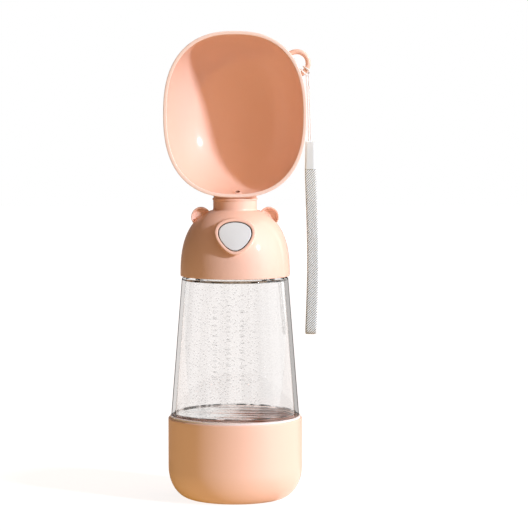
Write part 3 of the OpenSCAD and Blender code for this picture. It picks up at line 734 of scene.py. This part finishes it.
def make_webbing(name, light_colour, dark_colour, wale, slant):
    """Woven twill: slanting wales across the band, from the piece's own UV in millimetres."""
    material = bpy.data.materials.new(name)
    material.use_nodes = True
    tree = material.node_tree
    shader = tree.nodes["Principled BSDF"]
    shader.inputs["Roughness"].default_value = 0.75
    shader.inputs["Sheen Weight"].default_value = 0.5
    split = add(tree, "ShaderNodeSeparateXYZ")
    put(tree, add(tree, "ShaderNodeTexCoord").outputs["UV"], split.inputs[0])
    along, across = split.outputs[0], split.outputs[1]
    phase = number(tree, "DIVIDE", number(tree, "MULTIPLY_ADD", across, slant, along), wale)
    wave = number(tree, "SINE", number(tree, "MULTIPLY", phase, 2 * math.pi))
    mask = number(tree, "MULTIPLY_ADD", wave, 3.0, 2.3, clamp=True)
    fibre = add(tree, "ShaderNodeTexNoise")
    fibre.inputs["Scale"].default_value = 6
    put(tree, add(tree, "ShaderNodeTexCoord").outputs["UV"], fibre.inputs["Vector"])
    grain = number(tree, "MULTIPLY_ADD", fibre.outputs["Fac"], 0.4, -0.15)
    share = number(tree, "ADD", mask, grain, clamp=True)
    put(tree, blended(tree, share, dark_colour, light_colour), shader.inputs["Base Color"])
    bump = add(tree, "ShaderNodeBump")
    bump.inputs["Strength"].default_value = 0.3
    bump.inputs["Distance"].default_value = 0.1 * MM
    put(tree, share, bump.inputs["Height"])
    put(tree, bump.outputs["Normal"], shader.inputs["Normal"])
    return material


webbing = make_webbing("strap_webbing", (0.83, 0.98, 1, 1), (0.06, 0.09, 0.1, 1), WALE, SLANT)
cord_yarn = make_webbing("white_cord", (0.9, 0.98, 1, 1), (0.75, 0.84, 0.88, 1), 0.9, 1.0)


# ---- lanyard ----

def make_hitch_cord():
    """A round cord of three twisted strands: its radius swells three times round, turning along it."""
    route, run = evenly(smooth_route(CORD_POINTS) + eye, 0.35)
    around = 15
    angle = np.linspace(0, 2 * math.pi, around, endpoint=False)[None, :]
    radius = cord_d / 2 * (0.93 + 0.07 * np.cos(3 * angle + run[:, None] * 2 * math.pi / 2.4))
    section = np.stack([radius * np.cos(angle), radius * np.sin(angle)], axis=-1)
    points = swept(route, section, [0, 1, 0])
    lengths = np.concatenate([[0], run, run[-1:]])[:, None] + 0 * angle
    uv = np.stack([lengths, 0 * lengths + angle * cord_d / 2], axis=-1)
    cord = make_piece("braided_hitch_cord", points, grid_quads(*points.shape[:2]), cord_yarn, "cap",
                      "hitch_cord", uv=uv)
    return cord, route, run[-1]


def make_strap():
    """Flat webbing with rounded selvedges: a band whose half thickness falls off at its two edges as
    the fourth root of what is left, with twill wales raised on both faces."""
    route, run = evenly(smooth_route(STRAP_POINTS) + eye, 0.24)
    across = 25
    half = np.sin(np.linspace(-math.pi / 2, math.pi / 2, across)) * strap_w / 2
    thick = strap_t / 2 * (1 - (np.abs(half) / (strap_w / 2)) ** 4) ** 0.5
    side = np.concatenate([half, half[-2:0:-1]])
    face = np.concatenate([thick, -thick[-2:0:-1]])
    phase = (run[:, None] + SLANT * side[None, :]) / WALE
    wales = 0.05 * np.sin(2 * math.pi * phase) * np.sign(face) * (np.abs(face) > 0.2)
    section = np.stack([face[None, :] + wales, side[None, :] + 0 * wales], axis=-1)
    points = swept(route, section, [0, -1, 0])
    lengths = np.concatenate([[0], run, run[-1:]])[:, None]
    uv = np.stack([lengths + 0 * side, 0 * lengths + side], axis=-1)
    strap = make_piece("woven_wrist_strap", points, grid_quads(*points.shape[:2]), webbing, "cap",
                       "wrist_strap", uv=uv, crease=80)
    return strap, route, run[-1]


def make_crimp():
    """A flattened tube, a little wider at its foot: a rounded rectangle at each height, with eased
    ends and a slot at its foot for the strap's two ends."""
    low, high = box_mm("cord_crimp")
    middle = np.array([(low[0] + high[0]) / 2, (low[1] + high[1]) / 2])
    height = high[2] - low[2]
    slot_w, slot_t, slot_h = strap_w, 2.5, 0.8
    rise = eased([(0.0, slot_h), (1, slot_h, 0.1), (1, 0, 0.15), (2, 0, 0.35), (2, height, 0.5),
                  (0.0, height)], steps=5)
    rise = spaced(rise, 0.8)
    inner, up = rise[:, :1], rise[:, 1:]
    share = up / height
    outer_w = (crimp_w[1] + (crimp_w[0] - crimp_w[1]) * share) / 2
    angle = np.linspace(0, 2 * math.pi, 64, endpoint=False)[None, :]
    solid = np.clip(inner - 1, 0, 1)
    slot = np.clip(inner, 0, 1)
    half_w = slot * ((1 - solid) * min(slot_w / 2, crimp_w[1] / 2 - 0.3) + solid * outer_w)
    half_t = slot * ((1 - solid) * slot_t / 2 + solid * crimp_t / 2)
    x, y = rounded(half_w, half_t, 5, angle)
    points = np.stack([middle[0] + x, middle[1] + y, low[2] + up + 0 * x], axis=-1)
    return make_piece("pressed_crimp", points, grid_quads(*points.shape[:2]), pale, "cap",
                      "cord_crimp")


crimp = make_crimp()
cord, cord_route, cord_length = make_hitch_cord()
strap, strap_route, strap_length = make_strap()


# ---- food cup ----

def cup_curve(inset, steps=24):
    """The quarter ellipse at the cup's foot, drawn in by the wall where inset is its thickness."""
    a = np.linspace(0, math.pi / 2, steps)
    return np.stack([cup_r - foot_round_w + (foot_round_w - inset) * np.sin(a),
                     foot_round_h - (foot_round_h - inset) * np.cos(a)], axis=-1)


def make_food_cup():
    """A turned cup with a rounded foot, a groove under it, an eased rim and a thread inside."""
    cup_in_r = cup_r - cup_wall
    groove_r = cup_r - foot_round_w - 4
    under = eased([(0, 0), (groove_r, 0, 0.15), (groove_r, foot_groove, 0.2),
                   (groove_r + foot_groove_w, foot_groove, 0.2), (groove_r + foot_groove_w, 0, 0.15),
                   (cup_r - foot_round_w, 0)], steps=3)
    rim = eased([(cup_r, foot_round_h), (cup_r, cup_h, 0.7), (cup_in_r, cup_h, 0.4),
                 (cup_in_r, cup_h - 1)])
    thread_foot = cup_h - cup_thread_h
    thread = spaced(np.array([[cup_in_r, cup_h - 1], [cup_in_r, thread_foot]]), 0.16)
    inner = cup_curve(cup_wall)[::-1]
    inner[:, 1] = np.maximum(inner[:, 1], cup_floor)
    profile = np.vstack([spaced(under, 2), cup_curve(0), spaced(rim, 1.5)[1:], thread[1:],
                         spaced(np.vstack([thread[-1:], inner, [[0, cup_floor]]]), 2)[1:]])

    def relief(angle, r, z):
        on_wall = (np.abs(r - cup_in_r) < 1e-6) & (z > thread_foot - 0.01)
        height = ridge(angle, z, skirt_ridge_z - pitch / 2, female_turns, male_turns - female_turns)
        return -height * on_wall

    points = turned(profile, relief=relief)
    return make_piece("moulded_food_cup", points, grid_quads(*points.shape[:2]), peach, "cup",
                      "food_cup")


make_food_cup()


# ---- bottle ----

def make_bottle():
    """The clear body as one turned wall: threaded skirt, tapered side, rounded shoulder and threaded
    mouth outside, then the same inwards to the floor."""
    inner_foot_r = wall_foot_r - wall_t
    inner_top_r = wall_top_r - wall_t
    inner_top_z = shoulder_z - shoulder_t
    skirt_in_r = skirt_r - wall_t
    mouth_in_r = mouth_r - wall_t
    skirt = eased([(0, wall_z), (skirt_in_r, wall_z, 0.6), (skirt_in_r, skirt_z, 0.5),
                   (skirt_r, skirt_z, 0.5), (skirt_r, skirt_z + 0.6)])
    skirt_thread = spaced(np.array([[skirt_r, skirt_z + 0.6], [skirt_r, wall_z - 0.5]]), 0.17)
    side = eased([(skirt_r, wall_z - 0.5), (skirt_r, wall_z, 0.2), (wall_foot_r, wall_z, 0.5),
                  (wall_top_r, shoulder_z, shoulder_round), (mouth_r, shoulder_z, 0.4),
                  (mouth_r, shoulder_z + 0.8)], steps=8)
    mouth_thread = spaced(np.array([[mouth_r, shoulder_z + 0.8], [mouth_r, mouth_z - 0.6]]), 0.17)
    lip = eased([(mouth_r, mouth_z - 0.6), (mouth_r, mouth_z, 0.4), (mouth_in_r, mouth_z, 0.4),
                 (mouth_in_r, inner_top_z, 0.4), (inner_top_r, inner_top_z, 0.5),
                 (inner_foot_r, wall_z + floor_t, 0.7), (0, wall_z + floor_t)], steps=8)
    profile = np.vstack([spaced(skirt, 2), skirt_thread[1:], spaced(side, 1.5)[1:], mouth_thread[1:],
                         spaced(lip, 1.5)[1:]])

    def relief(angle, r, z):
        on_skirt = (np.abs(r - skirt_r) < 1e-6) & (z < wall_z - 0.4)
        on_mouth = (np.abs(r - mouth_r) < 1e-6) & (z > shoulder_z + 0.7)
        return (ridge(angle, z, skirt_ridge_z, male_turns) * on_skirt
                + ridge(angle, z, mouth_ridge_z, male_turns) * on_mouth)

    points = turned(profile, relief=relief)
    return make_piece("clear_bottle", points, grid_quads(*points.shape[:2]), clear, "bottle",
                      "bottle")


make_bottle()


# ---- cap ----

def dome_radius(z, r, h):
    """The dome's radius at height z, for a dome of foot radius r and height h above the cap's edge."""
    rise = np.clip((z - cap_z) / h, 0, 1)
    return r * (1 - rise ** dome_power) ** (1 / dome_power)


def walled(outer, inner, keep):
    """Points and quads of a wall between two grids of one shape, closed round its columns: the outer
    cells that are kept, the inner ones turned over, and a strip along every edge of what is kept."""
    rows, columns = outer.shape[:2]
    count = rows * columns
    cells = grid_quads(rows, columns).reshape(rows - 1, columns, 4)
    padded = np.pad(keep, ((1, 1), (0, 0)))
    beyond = [padded[:-2], np.roll(keep, -1, axis=1), padded[2:], np.roll(keep, 1, axis=1)]
    strips = []
    for side, kept_beyond in enumerate(beyond):
        edge = cells[keep & ~kept_beyond]
        p, q = edge[:, side], edge[:, (side + 1) % 4]
        strips.append(np.stack([q, p, p + count, q + count], axis=-1))
    kept = cells[keep]
    quads = np.vstack([kept, kept[:, ::-1] + count] + strips)
    return np.concatenate([outer.reshape(-1, 3), inner.reshape(-1, 3)]), quads


def button_outline(grow, angle):
    """The opening's outline: an ellipse that is wider towards its top, widened all round by grow.
    Gives x and the height above the button's middle."""
    return ((button_w + grow) * np.cos(angle) * (1 + button_flare * np.sin(angle)),
            (button_h + grow) * np.sin(angle))


def in_outline(x, z, grow):
    """True inside the opening's outline, widened by grow."""
    up = np.clip((z - button_z) / (button_h + grow), -1, 1)
    half = (button_w + grow) * np.sqrt(1 - up ** 2) * (1 + button_flare * up)
    return (np.abs(x) < half) & (np.abs(z - button_z) < button_h + grow)


def make_dome():
    """The dome and its neck as a wall with a window behind the bezel: outside, the curve
    (r/R)^n + (z/H)^n = 1 with a fillet into the neck; inside, the same curve drawn in by the wall."""
    a = np.linspace(0, math.acos(((neck_r + neck_fillet) / cap_r) ** (dome_power / 2)), 110)
    r, z = rounded(cap_r, dome_h, dome_power, a)
    edge = eased([(cap_r - 0.8, cap_z), (cap_r, cap_z, 0.5), (cap_r, cap_z + 1)])
    dome = np.stack([r, cap_z + z], axis=-1)
    dome = dome[dome[:, 1] > cap_z + 1]
    foot = dome[-1, 1]
    neck = eased([tuple(dome[-1]), (neck_r, foot + 0.2, neck_fillet), (neck_r, neck_z, 0.4),
                  (neck_r - 0.6, neck_z)])
    outer = np.vstack([spaced(edge, 0.5)[:-1], dome, spaced(neck, 0.6)[1:]])
    inner_r = np.maximum(dome_radius(outer[:, 1], cap_r - cap_wall, dome_h - cap_wall), neck_in_r)
    inner = np.stack([inner_r, outer[:, 1]], axis=-1)
    outside, inside = turned(outer, 240), turned(inner, 240)

    def centres(grid):
        corner = grid + np.roll(grid, -1, axis=1)
        return (corner[:-1] + corner[1:]) / 4

    out, within = centres(outside), centres(inside)
    window = in_outline(out[..., 0], out[..., 2], 0.9) | in_outline(within[..., 0], within[..., 2], -0.1)
    points, quads = walled(outside, inside, ~(window & (out[..., 1] < 0)))
    return make_piece("domed_cap", points, quads, peach, "cap", "cap_dome")


def make_ear(name, side, replaced):
    """A thick disc across the bottle with a hollow front, turned about its own axis, whose inner
    part is drawn out to the middle of the dome's wall."""
    front, back = ear_low[1], ear_high[1]
    dish_r = ear_r - ear_rim
    line = eased([(0, front + ear_hollow), (dish_r - 0.4, front + ear_hollow, 1.2),
                  (dish_r, front, 0.2), (ear_r, front, 0.3), (ear_r, back, 1.3), (0, back)])
    disc = turned(spaced(line, 0.5), 96)
    points = np.stack([side * ear_x + disc[..., 0], disc[..., 2], ear_z + disc[..., 1]], axis=-1)
    surface = dome_radius(points[..., 2], cap_r - cap_wall / 2, dome_h - cap_wall / 2)
    radius = np.hypot(points[..., 0], points[..., 1])
    points[..., :2] *= np.maximum(1, surface / radius)[..., None]
    return make_piece(name, points, grid_quads(*points.shape[:2]), peach, "cap", replaced)


def face_plane(z):
    """The bezel's tilted face: its y at height z."""
    return face_y + (z - button_z) * math.tan(face_tilt)


def make_bezel():
    """A collar carried round the opening's outline. Its section runs from a fillet on the dome up
    the outer side, over a rounded lip, down the opening's wall and back. Each of its points lies
    at a grow of the outline and a depth from the face, the dome or the back plane."""
    angle = np.linspace(0, 2 * math.pi, 200, endpoint=False)[None, :]
    fillet = 0.5
    a = np.linspace(0, math.pi / 2, 8)
    sweep = [(bezel_wall + fillet * (1 - math.sin(t)), "dome", -fillet * (1 - math.cos(t))) for t in a]
    lip = eased([(bezel_wall, 1.6), (bezel_wall, 0, 1.1), (0, 0, 0.4), (0, 1.6)], steps=8)
    section = sweep + [(g, "face", d) for g, d in lip]
    section += [(0, "back", 0), (bezel_wall * 0.8, "back", 0), (bezel_wall * 0.8, "dome", 1.2)]
    rows = []
    for grow, base, depth in section:
        x, up = button_outline(grow, angle[0])
        z = button_z + up
        on_dome = -np.sqrt(np.maximum(dome_radius(z, cap_r, dome_h) ** 2 - x ** 2, 0))
        y = {"face": face_plane(z), "dome": on_dome, "back": bezel_back + 0 * z}[base] + depth
        rows.append(np.stack([x, y, z], axis=-1))
    points = np.stack(rows)
    return make_piece("button_bezel_ring", points, grid_quads(*points.shape[:2], wrap_rows=True), peach,
                      "cap", "button_bezel")


def make_button():
    """The push button as a hollow plug: a slightly crowned tilted face, a rounded edge, a skirt, and
    a round boss on its back."""
    angle = np.linspace(0, 2 * math.pi, 160, endpoint=False)
    crown, edge, face_t = 0.45, 0.45, 1.6
    rows = []

    def row(grow, share, y_of, circle=0.0):
        x, up = button_outline(grow, angle)
        x = share * ((1 - circle) * x + circle * boss_r * np.cos(angle))
        z = button_z + share * ((1 - circle) * up + circle * boss_r * np.sin(angle))
        rows.append(np.stack([x, y_of(z), z], axis=-1))

    for share in np.linspace(0, 1, 16):
        row(-button_gap - edge, share,
            lambda z: face_plane(z) + button_inset - crown * (1 - share ** 2) + 0.1)
    for t in np.linspace(0, math.pi / 2, 8)[1:]:
        row(-button_gap - edge * (1 - math.sin(t)), 1,
            lambda z: face_plane(z) + button_inset + 0.1 + edge * (1 - math.cos(t)))
    for y in np.linspace(0.25, 1, 4):
        row(-button_gap, 1,
            lambda z: (1 - y) * (face_plane(z) + button_inset + 0.1 + edge) + y * button_back)
    row(-button_gap - button_wall, 1, lambda z: button_back + 0 * z)
    row(-button_gap - button_wall, 1, lambda z: face_plane(z) + button_inset + face_t)
    row(0, 1, lambda z: face_plane(z) + button_inset + face_t, circle=1.0)
    row(0, 1, lambda z: boss_back + 0 * z, circle=1.0)
    row(0, 0, lambda z: boss_back + 0 * z, circle=1.0)
    points = np.stack(rows)
    return make_piece("push_button", points, grid_quads(*points.shape[:2]), grey, "button",
                      "button")


make_dome()
make_ear("left_round_ear", -1, "left_ear")
make_ear("right_round_ear", 1, "right_ear")
make_bezel()
make_button()


# ---- bowl ----

def bowl_share(depth, d):
    """How much of the rim's size is left at a depth behind the rim, for a bowl of depth d."""
    return np.clip(1 - (np.clip(depth, 0, d) / d) ** hollow_power, 0, 1) ** (1 / hollow_power)


def out_of_bowl(points):
    """Moves points that lie inside the middle of the bowl's wall out to it, across the bowl."""
    half = bowl_wall / 2
    left = bowl_share(points[..., 1] - rim_y, bowl_d - half)
    x, up = points[..., 0], points[..., 2] - bowl_z
    size = ((np.abs(x) / (bowl_w - half)) ** rim_power
            + (np.abs(up) / (bowl_h - half)) ** rim_power) ** (1 / rim_power)
    scale = np.maximum(1, left / np.maximum(size, 1e-9))
    return np.stack([x * scale, points[..., 1], bowl_z + up * scale], axis=-1)


def make_bowl():
    """A deep oval shell: rings |x/a|^p + |z/b|^p = 1 that shrink with depth as (1 - depth^q)^(1/q),
    outside from the back to the rim, over a rounded lip, and inside back again."""
    angle = np.linspace(0, 2 * math.pi, 256, endpoint=False)[None, :]
    t = np.linspace(0, math.pi / 2, 56)
    lip = 1.0
    size, back = rounded(1, bowl_d, hollow_power, t)
    keep = back > lip
    outside = np.stack([0 * size[keep], size[keep], back[keep]], axis=-1)[::-1]
    size, back = rounded(1, bowl_d - bowl_wall, hollow_power, t)
    keep = back > lip
    inside = np.stack([bowl_wall + 0 * size[keep], size[keep], back[keep]], axis=-1)
    edge = eased([(0, lip), (0, 0, 0.5), (bowl_wall, 0, 0.4), (bowl_wall, lip)])
    rim = np.stack([edge[:, 0], 1 + 0 * edge[:, 0], edge[:, 1]], axis=-1)
    inset, share, depth = np.vstack([outside, rim, inside]).T[..., None]
    x, up = rounded((bowl_w - inset) * share, (bowl_h - inset) * share, rim_power, angle)
    points = np.stack([x, rim_y + depth + 0 * x, bowl_z + up], axis=-1)
    return make_piece("oval_bowl", points, grid_quads(*points.shape[:2]), bowl_peach, "cap",
                      "bowl")


def make_stem():
    """The bowl's stem, turned, with its spigot below and its top cut to the middle of the bowl's wall."""
    side_r = neck_r - 0.2
    bore_r = neck_in_r - 1.4
    spigot_r = neck_in_r - 0.1
    top = bowl_z - bowl_h * 0.6
    line = eased([(0, collar_z), (bore_r, collar_z, 0.3), (bore_r, spigot_z, 0.2),
                  (spigot_r, spigot_z, 0.3), (spigot_r, collar_z, 0.1), (side_r, collar_z, 0.2),
                  (side_r, top, 0.1), (0, top)])
    points = turned(spaced(line, 0.8), 128)
    half = bowl_wall / 2
    left = np.maximum(bowl_share(points[..., 1] - rim_y, bowl_d - half), 0.05)
    across = np.clip(np.abs(points[..., 0]) / ((bowl_w - half) * left), 0, 1)
    under = bowl_z - (bowl_h - half) * left * (1 - across ** rim_power) ** (1 / rim_power)
    points[..., 2] = np.minimum(points[..., 2], under)
    return make_piece("bowl_stem_post", points, grid_quads(*points.shape[:2]), peach, "cap",
                      "bowl_stem")


def make_collar():
    """A thin ring with eased edges between neck and stem."""
    ring = eased([(neck_in_r, neck_z), (collar_r, neck_z, 0.3), (collar_r, collar_z, 0.3),
                  (neck_in_r, collar_z)], steps=4)
    points = turned(spaced(ring, 0.6), 128)
    return make_piece("neck_collar_ring", points, grid_quads(*points.shape[:2], wrap_rows=True), peach,
                      "cap", "neck_collar")


def make_nozzle():
    """The outlet: a small tube through the bowl's floor whose mouth slants towards the front."""
    top = nozzle_high[2]
    tube = eased([(nozzle_bore_r, nozzle_low[2]), (nozzle_r, nozzle_low[2]), (nozzle_r, top, 0.35),
                  (nozzle_bore_r, top, 0.25)], steps=5)
    ring = np.vstack([tube, [[nozzle_bore_r, nozzle_low[2]]]])
    points = turned(spaced(ring, 0.8)[:-1], 64)
    near_top = np.clip((points[..., 2] - top) / nozzle_slant_h + 1, 0, 1)
    points[..., 2] += nozzle_slant * near_top * (points[..., 1] + nozzle_r * 0.3)
    points[..., 0] += nozzle_x
    points[..., 1] += nozzle_y
    return make_piece("water_outlet", points, grid_quads(*points.shape[:2], wrap_rows=True),
                      outlet_peach, "cap", "bowl_nozzle")


def make_loop():
    """The eye for the lanyard: a round bar along part of a circle, its ends drawn into the bowl's wall."""
    turn = np.radians(np.linspace(-74, 130, 72))
    route = np.stack([eye[0] + loop_r * np.cos(turn), eye[1] + 0 * turn,
                      eye[2] + loop_r * np.sin(turn)], axis=-1)
    angle = np.linspace(0, 2 * math.pi, 36, endpoint=False)
    section = loop_bar_r * np.stack([np.cos(angle), np.sin(angle)], axis=-1)
    points = out_of_bowl(swept(route, section, [0, 1, 0]))
    return make_piece("lanyard_eye_ring", points, grid_quads(*points.shape[:2]), peach, "cap",
                      "lanyard_loop")


make_bowl()
make_stem()
make_collar()
make_nozzle()
make_loop()


# ---- finishes of the solids that stay ----

FINISHES = {
    "cup_seal": silicone, "mouth_seal": silicone, "inlet_washer": silicone, "outlet_sleeve": silicone,
    "cap_liner": white, "valve_barrel": white, "barrel_cap": white, "valve_stem": white,
    "valve_plug": grey_silicone, "stem_seal": black_rubber, "return_spring": spring_steel}
for node, material in FINISHES.items():
    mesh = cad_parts[node].data
    mesh.materials.clear()
    mesh.materials.append(material)


# ---- floor, light and background ----

FLOOR_SIZE = 6.0
KEY_FROM = Vector((0.760, -0.542, 0.358))
KEY_STRENGTH = 2.45
KEY_COLOUR = (0.93, 0.98, 1.16)
KEY_SIZE = math.radians(4.5)
SPOT_FROM = Vector((-0.30, -0.88, 0.37))
SPOT_POWER = 20.0
SPOT_COLOUR = (1, 0.55, 0.15)
SPOT_CONE = math.radians(4.4)
SPOT_AT = Vector((6, 10, bowl_z - 4)) * MM
FILL_LIGHT = 1.9
FILL_COLOUR = (1, 0.67, 0.49, 1)
BACK_FILL = 0.15
TOP_FILL = 0.7
GLOW_LIGHT = 1.2
GLOW_COLOUR = (1, 0.72, 0.22, 1)
GLOW_SIZE = 0.18
GLOW_AT = (-0.12, -0.08)
PANEL_FROM, PANEL_TO = math.radians(50), math.radians(130)
PANEL_SOFT = 6.0
PANEL_LIGHT = 3.0
FLOOR_SHINE = 0.45
SEEN_FLOOR_LIGHT = 0.86
FRONT_FROM = math.radians(-12)
FRONT_LIGHT = 0.2
BACKDROP_LIGHT = 0.35
GAP_LIGHT = 0.1


def make_studio_panels():
    """What gloss sees at an azimuth: a tall panel on the right, a dim one from straight ahead up to it,
    the pale backdrop behind, and nothing on the left."""
    group, given, out = new_group("studio_panels", {}, {"Light": "NodeSocketFloat"})
    group.interface.new_socket("Way", in_out="INPUT", socket_type="NodeSocketVector")
    x, y, z = parted(group, given.outputs["Way"])
    azimuth = number(group, "ARCTAN2", x, number(group, "MULTIPLY", y, -1))
    before = number(group, "LESS_THAN", azimuth, PANEL_TO)
    panel = number(group, "MULTIPLY_ADD", azimuth, PANEL_SOFT, -PANEL_SOFT * PANEL_FROM, clamp=True)
    panel = number(group, "MULTIPLY", panel, before)
    front = number(group, "MULTIPLY", number(group, "GREATER_THAN", azimuth, FRONT_FROM), before)
    around = number(group, "ABSOLUTE", azimuth)
    backdrop = number(group, "MULTIPLY_ADD", around, 2, -2 * PANEL_TO, clamp=True)
    light = number(group, "MULTIPLY", panel, PANEL_LIGHT - FRONT_LIGHT)
    light = number(group, "MULTIPLY_ADD", front, FRONT_LIGHT, light)
    light = number(group, "MULTIPLY_ADD", backdrop, BACKDROP_LIGHT, light)
    put(group, light, out.inputs["Light"])
    return group


studio_panels = make_studio_panels()


def make_floor():
    """A wide pale floor, lifted to white where it is seen, that keeps a soft shadow. To diffuse light
    it has a warm glow on the left, to gloss it carries on the studio's panels, dimmer."""
    mesh = bpy.data.meshes.new("floor")
    half = FLOOR_SIZE / 2
    mesh.from_pydata([(-half, -half, 0), (half, -half, 0), (half, half, 0), (-half, half, 0)], [],
                     [(0, 1, 2, 3)])
    floor = bpy.data.objects.new("floor", mesh)
    bpy.context.scene.collection.objects.link(floor)
    material = bpy.data.materials.new("pale_floor")
    material.use_nodes = True
    tree = material.node_tree
    tree.nodes.remove(tree.nodes["Principled BSDF"])
    light = add(tree, "ShaderNodeLightPath")
    shine = number(tree, "MULTIPLY", light.outputs["Is Glossy Ray"],
                   number(tree, "SUBTRACT", 1, light.outputs["Is Transmission Ray"]))
    seen = number(tree, "MAXIMUM", light.outputs["Is Camera Ray"], light.outputs["Is Transmission Ray"])
    plain = add(tree, "ShaderNodeBsdfDiffuse")
    put(tree, blended(tree, seen, (0.5, 0.41, 0.32, 1), (0.3, 0.3, 0.3, 1)), plain.inputs["Color"])
    glow = add(tree, "ShaderNodeEmission")
    white = number(tree, "MAXIMUM", seen, shine)
    put(tree, blended(tree, white, GLOW_COLOUR, (1, 1, 1, 1)), glow.inputs["Color"])
    place = add(tree, "ShaderNodeTexCoord").outputs["Object"]
    spread = add(tree, "ShaderNodeMapping")
    spread.inputs["Location"].default_value = (-GLOW_AT[0] / GLOW_SIZE, -GLOW_AT[1] / GLOW_SIZE, 0)
    spread.inputs["Scale"].default_value = [1 / GLOW_SIZE] * 3
    put(tree, place, spread.inputs["Vector"])
    near = add(tree, "ShaderNodeTexGradient", gradient_type="SPHERICAL")
    put(tree, spread.outputs[0], near.inputs[0])
    warm = number(tree, "MULTIPLY", near.outputs["Fac"], GLOW_LIGHT)
    studio = use_group(tree, studio_panels)
    put(tree, place, studio.inputs["Way"])
    carried_on = number(tree, "MULTIPLY", studio.outputs["Light"], FLOOR_SHINE)
    strength = choose(tree, shine, warm, carried_on)
    put(tree, choose(tree, seen, strength, SEEN_FLOOR_LIGHT), glow.inputs["Strength"])
    both = add(tree, "ShaderNodeAddShader")
    put(tree, plain.outputs[0], both.inputs[0])
    put(tree, glow.outputs[0], both.inputs[1])
    put(tree, both.outputs[0], tree.nodes["Material Output"].inputs["Surface"])
    mesh.materials.append(material)


def make_world():
    """White where it is seen directly; for diffuse light a warm fill from the right and weak ones from
    behind and from straight above; for gloss the studio's panels; through clear material, pale panels
    every 45 degrees with darker gaps between them."""
    world = bpy.data.worlds.new("studio")
    bpy.context.scene.world = world
    world.use_nodes = True
    tree = world.node_tree
    background = tree.nodes["Background"]
    way = add(tree, "ShaderNodeTexCoord").outputs["Generated"]
    x, y, z = parted(tree, way)
    azimuth = number(tree, "ARCTAN2", x, number(tree, "MULTIPLY", y, -1))
    studio = use_group(tree, studio_panels)
    put(tree, way, studio.inputs["Way"])
    wave = number(tree, "COSINE", number(tree, "MULTIPLY", azimuth, 8))
    pale = number(tree, "MULTIPLY_ADD", wave, 3, 1, clamp=True)
    through = number(tree, "MULTIPLY_ADD", pale, 1 - GAP_LIGHT, GAP_LIGHT)
    light = add(tree, "ShaderNodeLightPath")
    fill = number(tree, "MULTIPLY", number(tree, "MAXIMUM", x, 0), FILL_LIGHT)
    fill = number(tree, "MULTIPLY_ADD", number(tree, "MAXIMUM", y, 0), BACK_FILL, fill)
    high = number(tree, "POWER", number(tree, "MAXIMUM", z, 0), 4)
    fill = number(tree, "MULTIPLY_ADD", high, TOP_FILL, fill)
    strength = choose(tree, light.outputs["Is Glossy Ray"], fill, studio.outputs["Light"])
    strength = choose(tree, light.outputs["Is Transmission Ray"], strength, through)
    strength = choose(tree, light.outputs["Is Camera Ray"], strength, 1.0)
    put(tree, strength, background.inputs["Strength"])
    lit = number(tree, "MAXIMUM", light.outputs["Is Glossy Ray"], light.outputs["Is Transmission Ray"])
    lit = number(tree, "MAXIMUM", light.outputs["Is Camera Ray"], lit)
    put(tree, blended(tree, lit, FILL_COLOUR, (1, 1, 1, 1)), background.inputs["Color"])


def make_key():
    """One far lamp from the right, a little above and in front."""
    data = bpy.data.lights.new("key", "SUN")
    data.energy = KEY_STRENGTH
    data.color = KEY_COLOUR
    data.angle = KEY_SIZE
    key = bpy.data.objects.new("key", data)
    key.rotation_mode = "QUATERNION"
    key.rotation_quaternion = KEY_FROM.to_track_quat("Z", "Y")
    bpy.context.scene.collection.objects.link(key)


def make_spot():
    """A weak warm spot from in front, a little left and above, held to the bowl's hollow."""
    data = bpy.data.lights.new("hollow_spot", "SPOT")
    data.energy = SPOT_POWER
    data.color = SPOT_COLOUR
    data.shadow_soft_size = 0.06
    data.spot_size = SPOT_CONE
    data.spot_blend = 0.6
    spot = bpy.data.objects.new("hollow_spot", data)
    spot.location = SPOT_AT + SPOT_FROM
    spot.rotation_mode = "QUATERNION"
    spot.rotation_quaternion = SPOT_FROM.to_track_quat("Z", "Y")
    spot.visible_glossy = False
    bpy.context.scene.collection.objects.link(spot)


make_floor()
make_world()
make_key()
make_spot()
bpy.context.scene.view_settings.view_transform = "Standard"
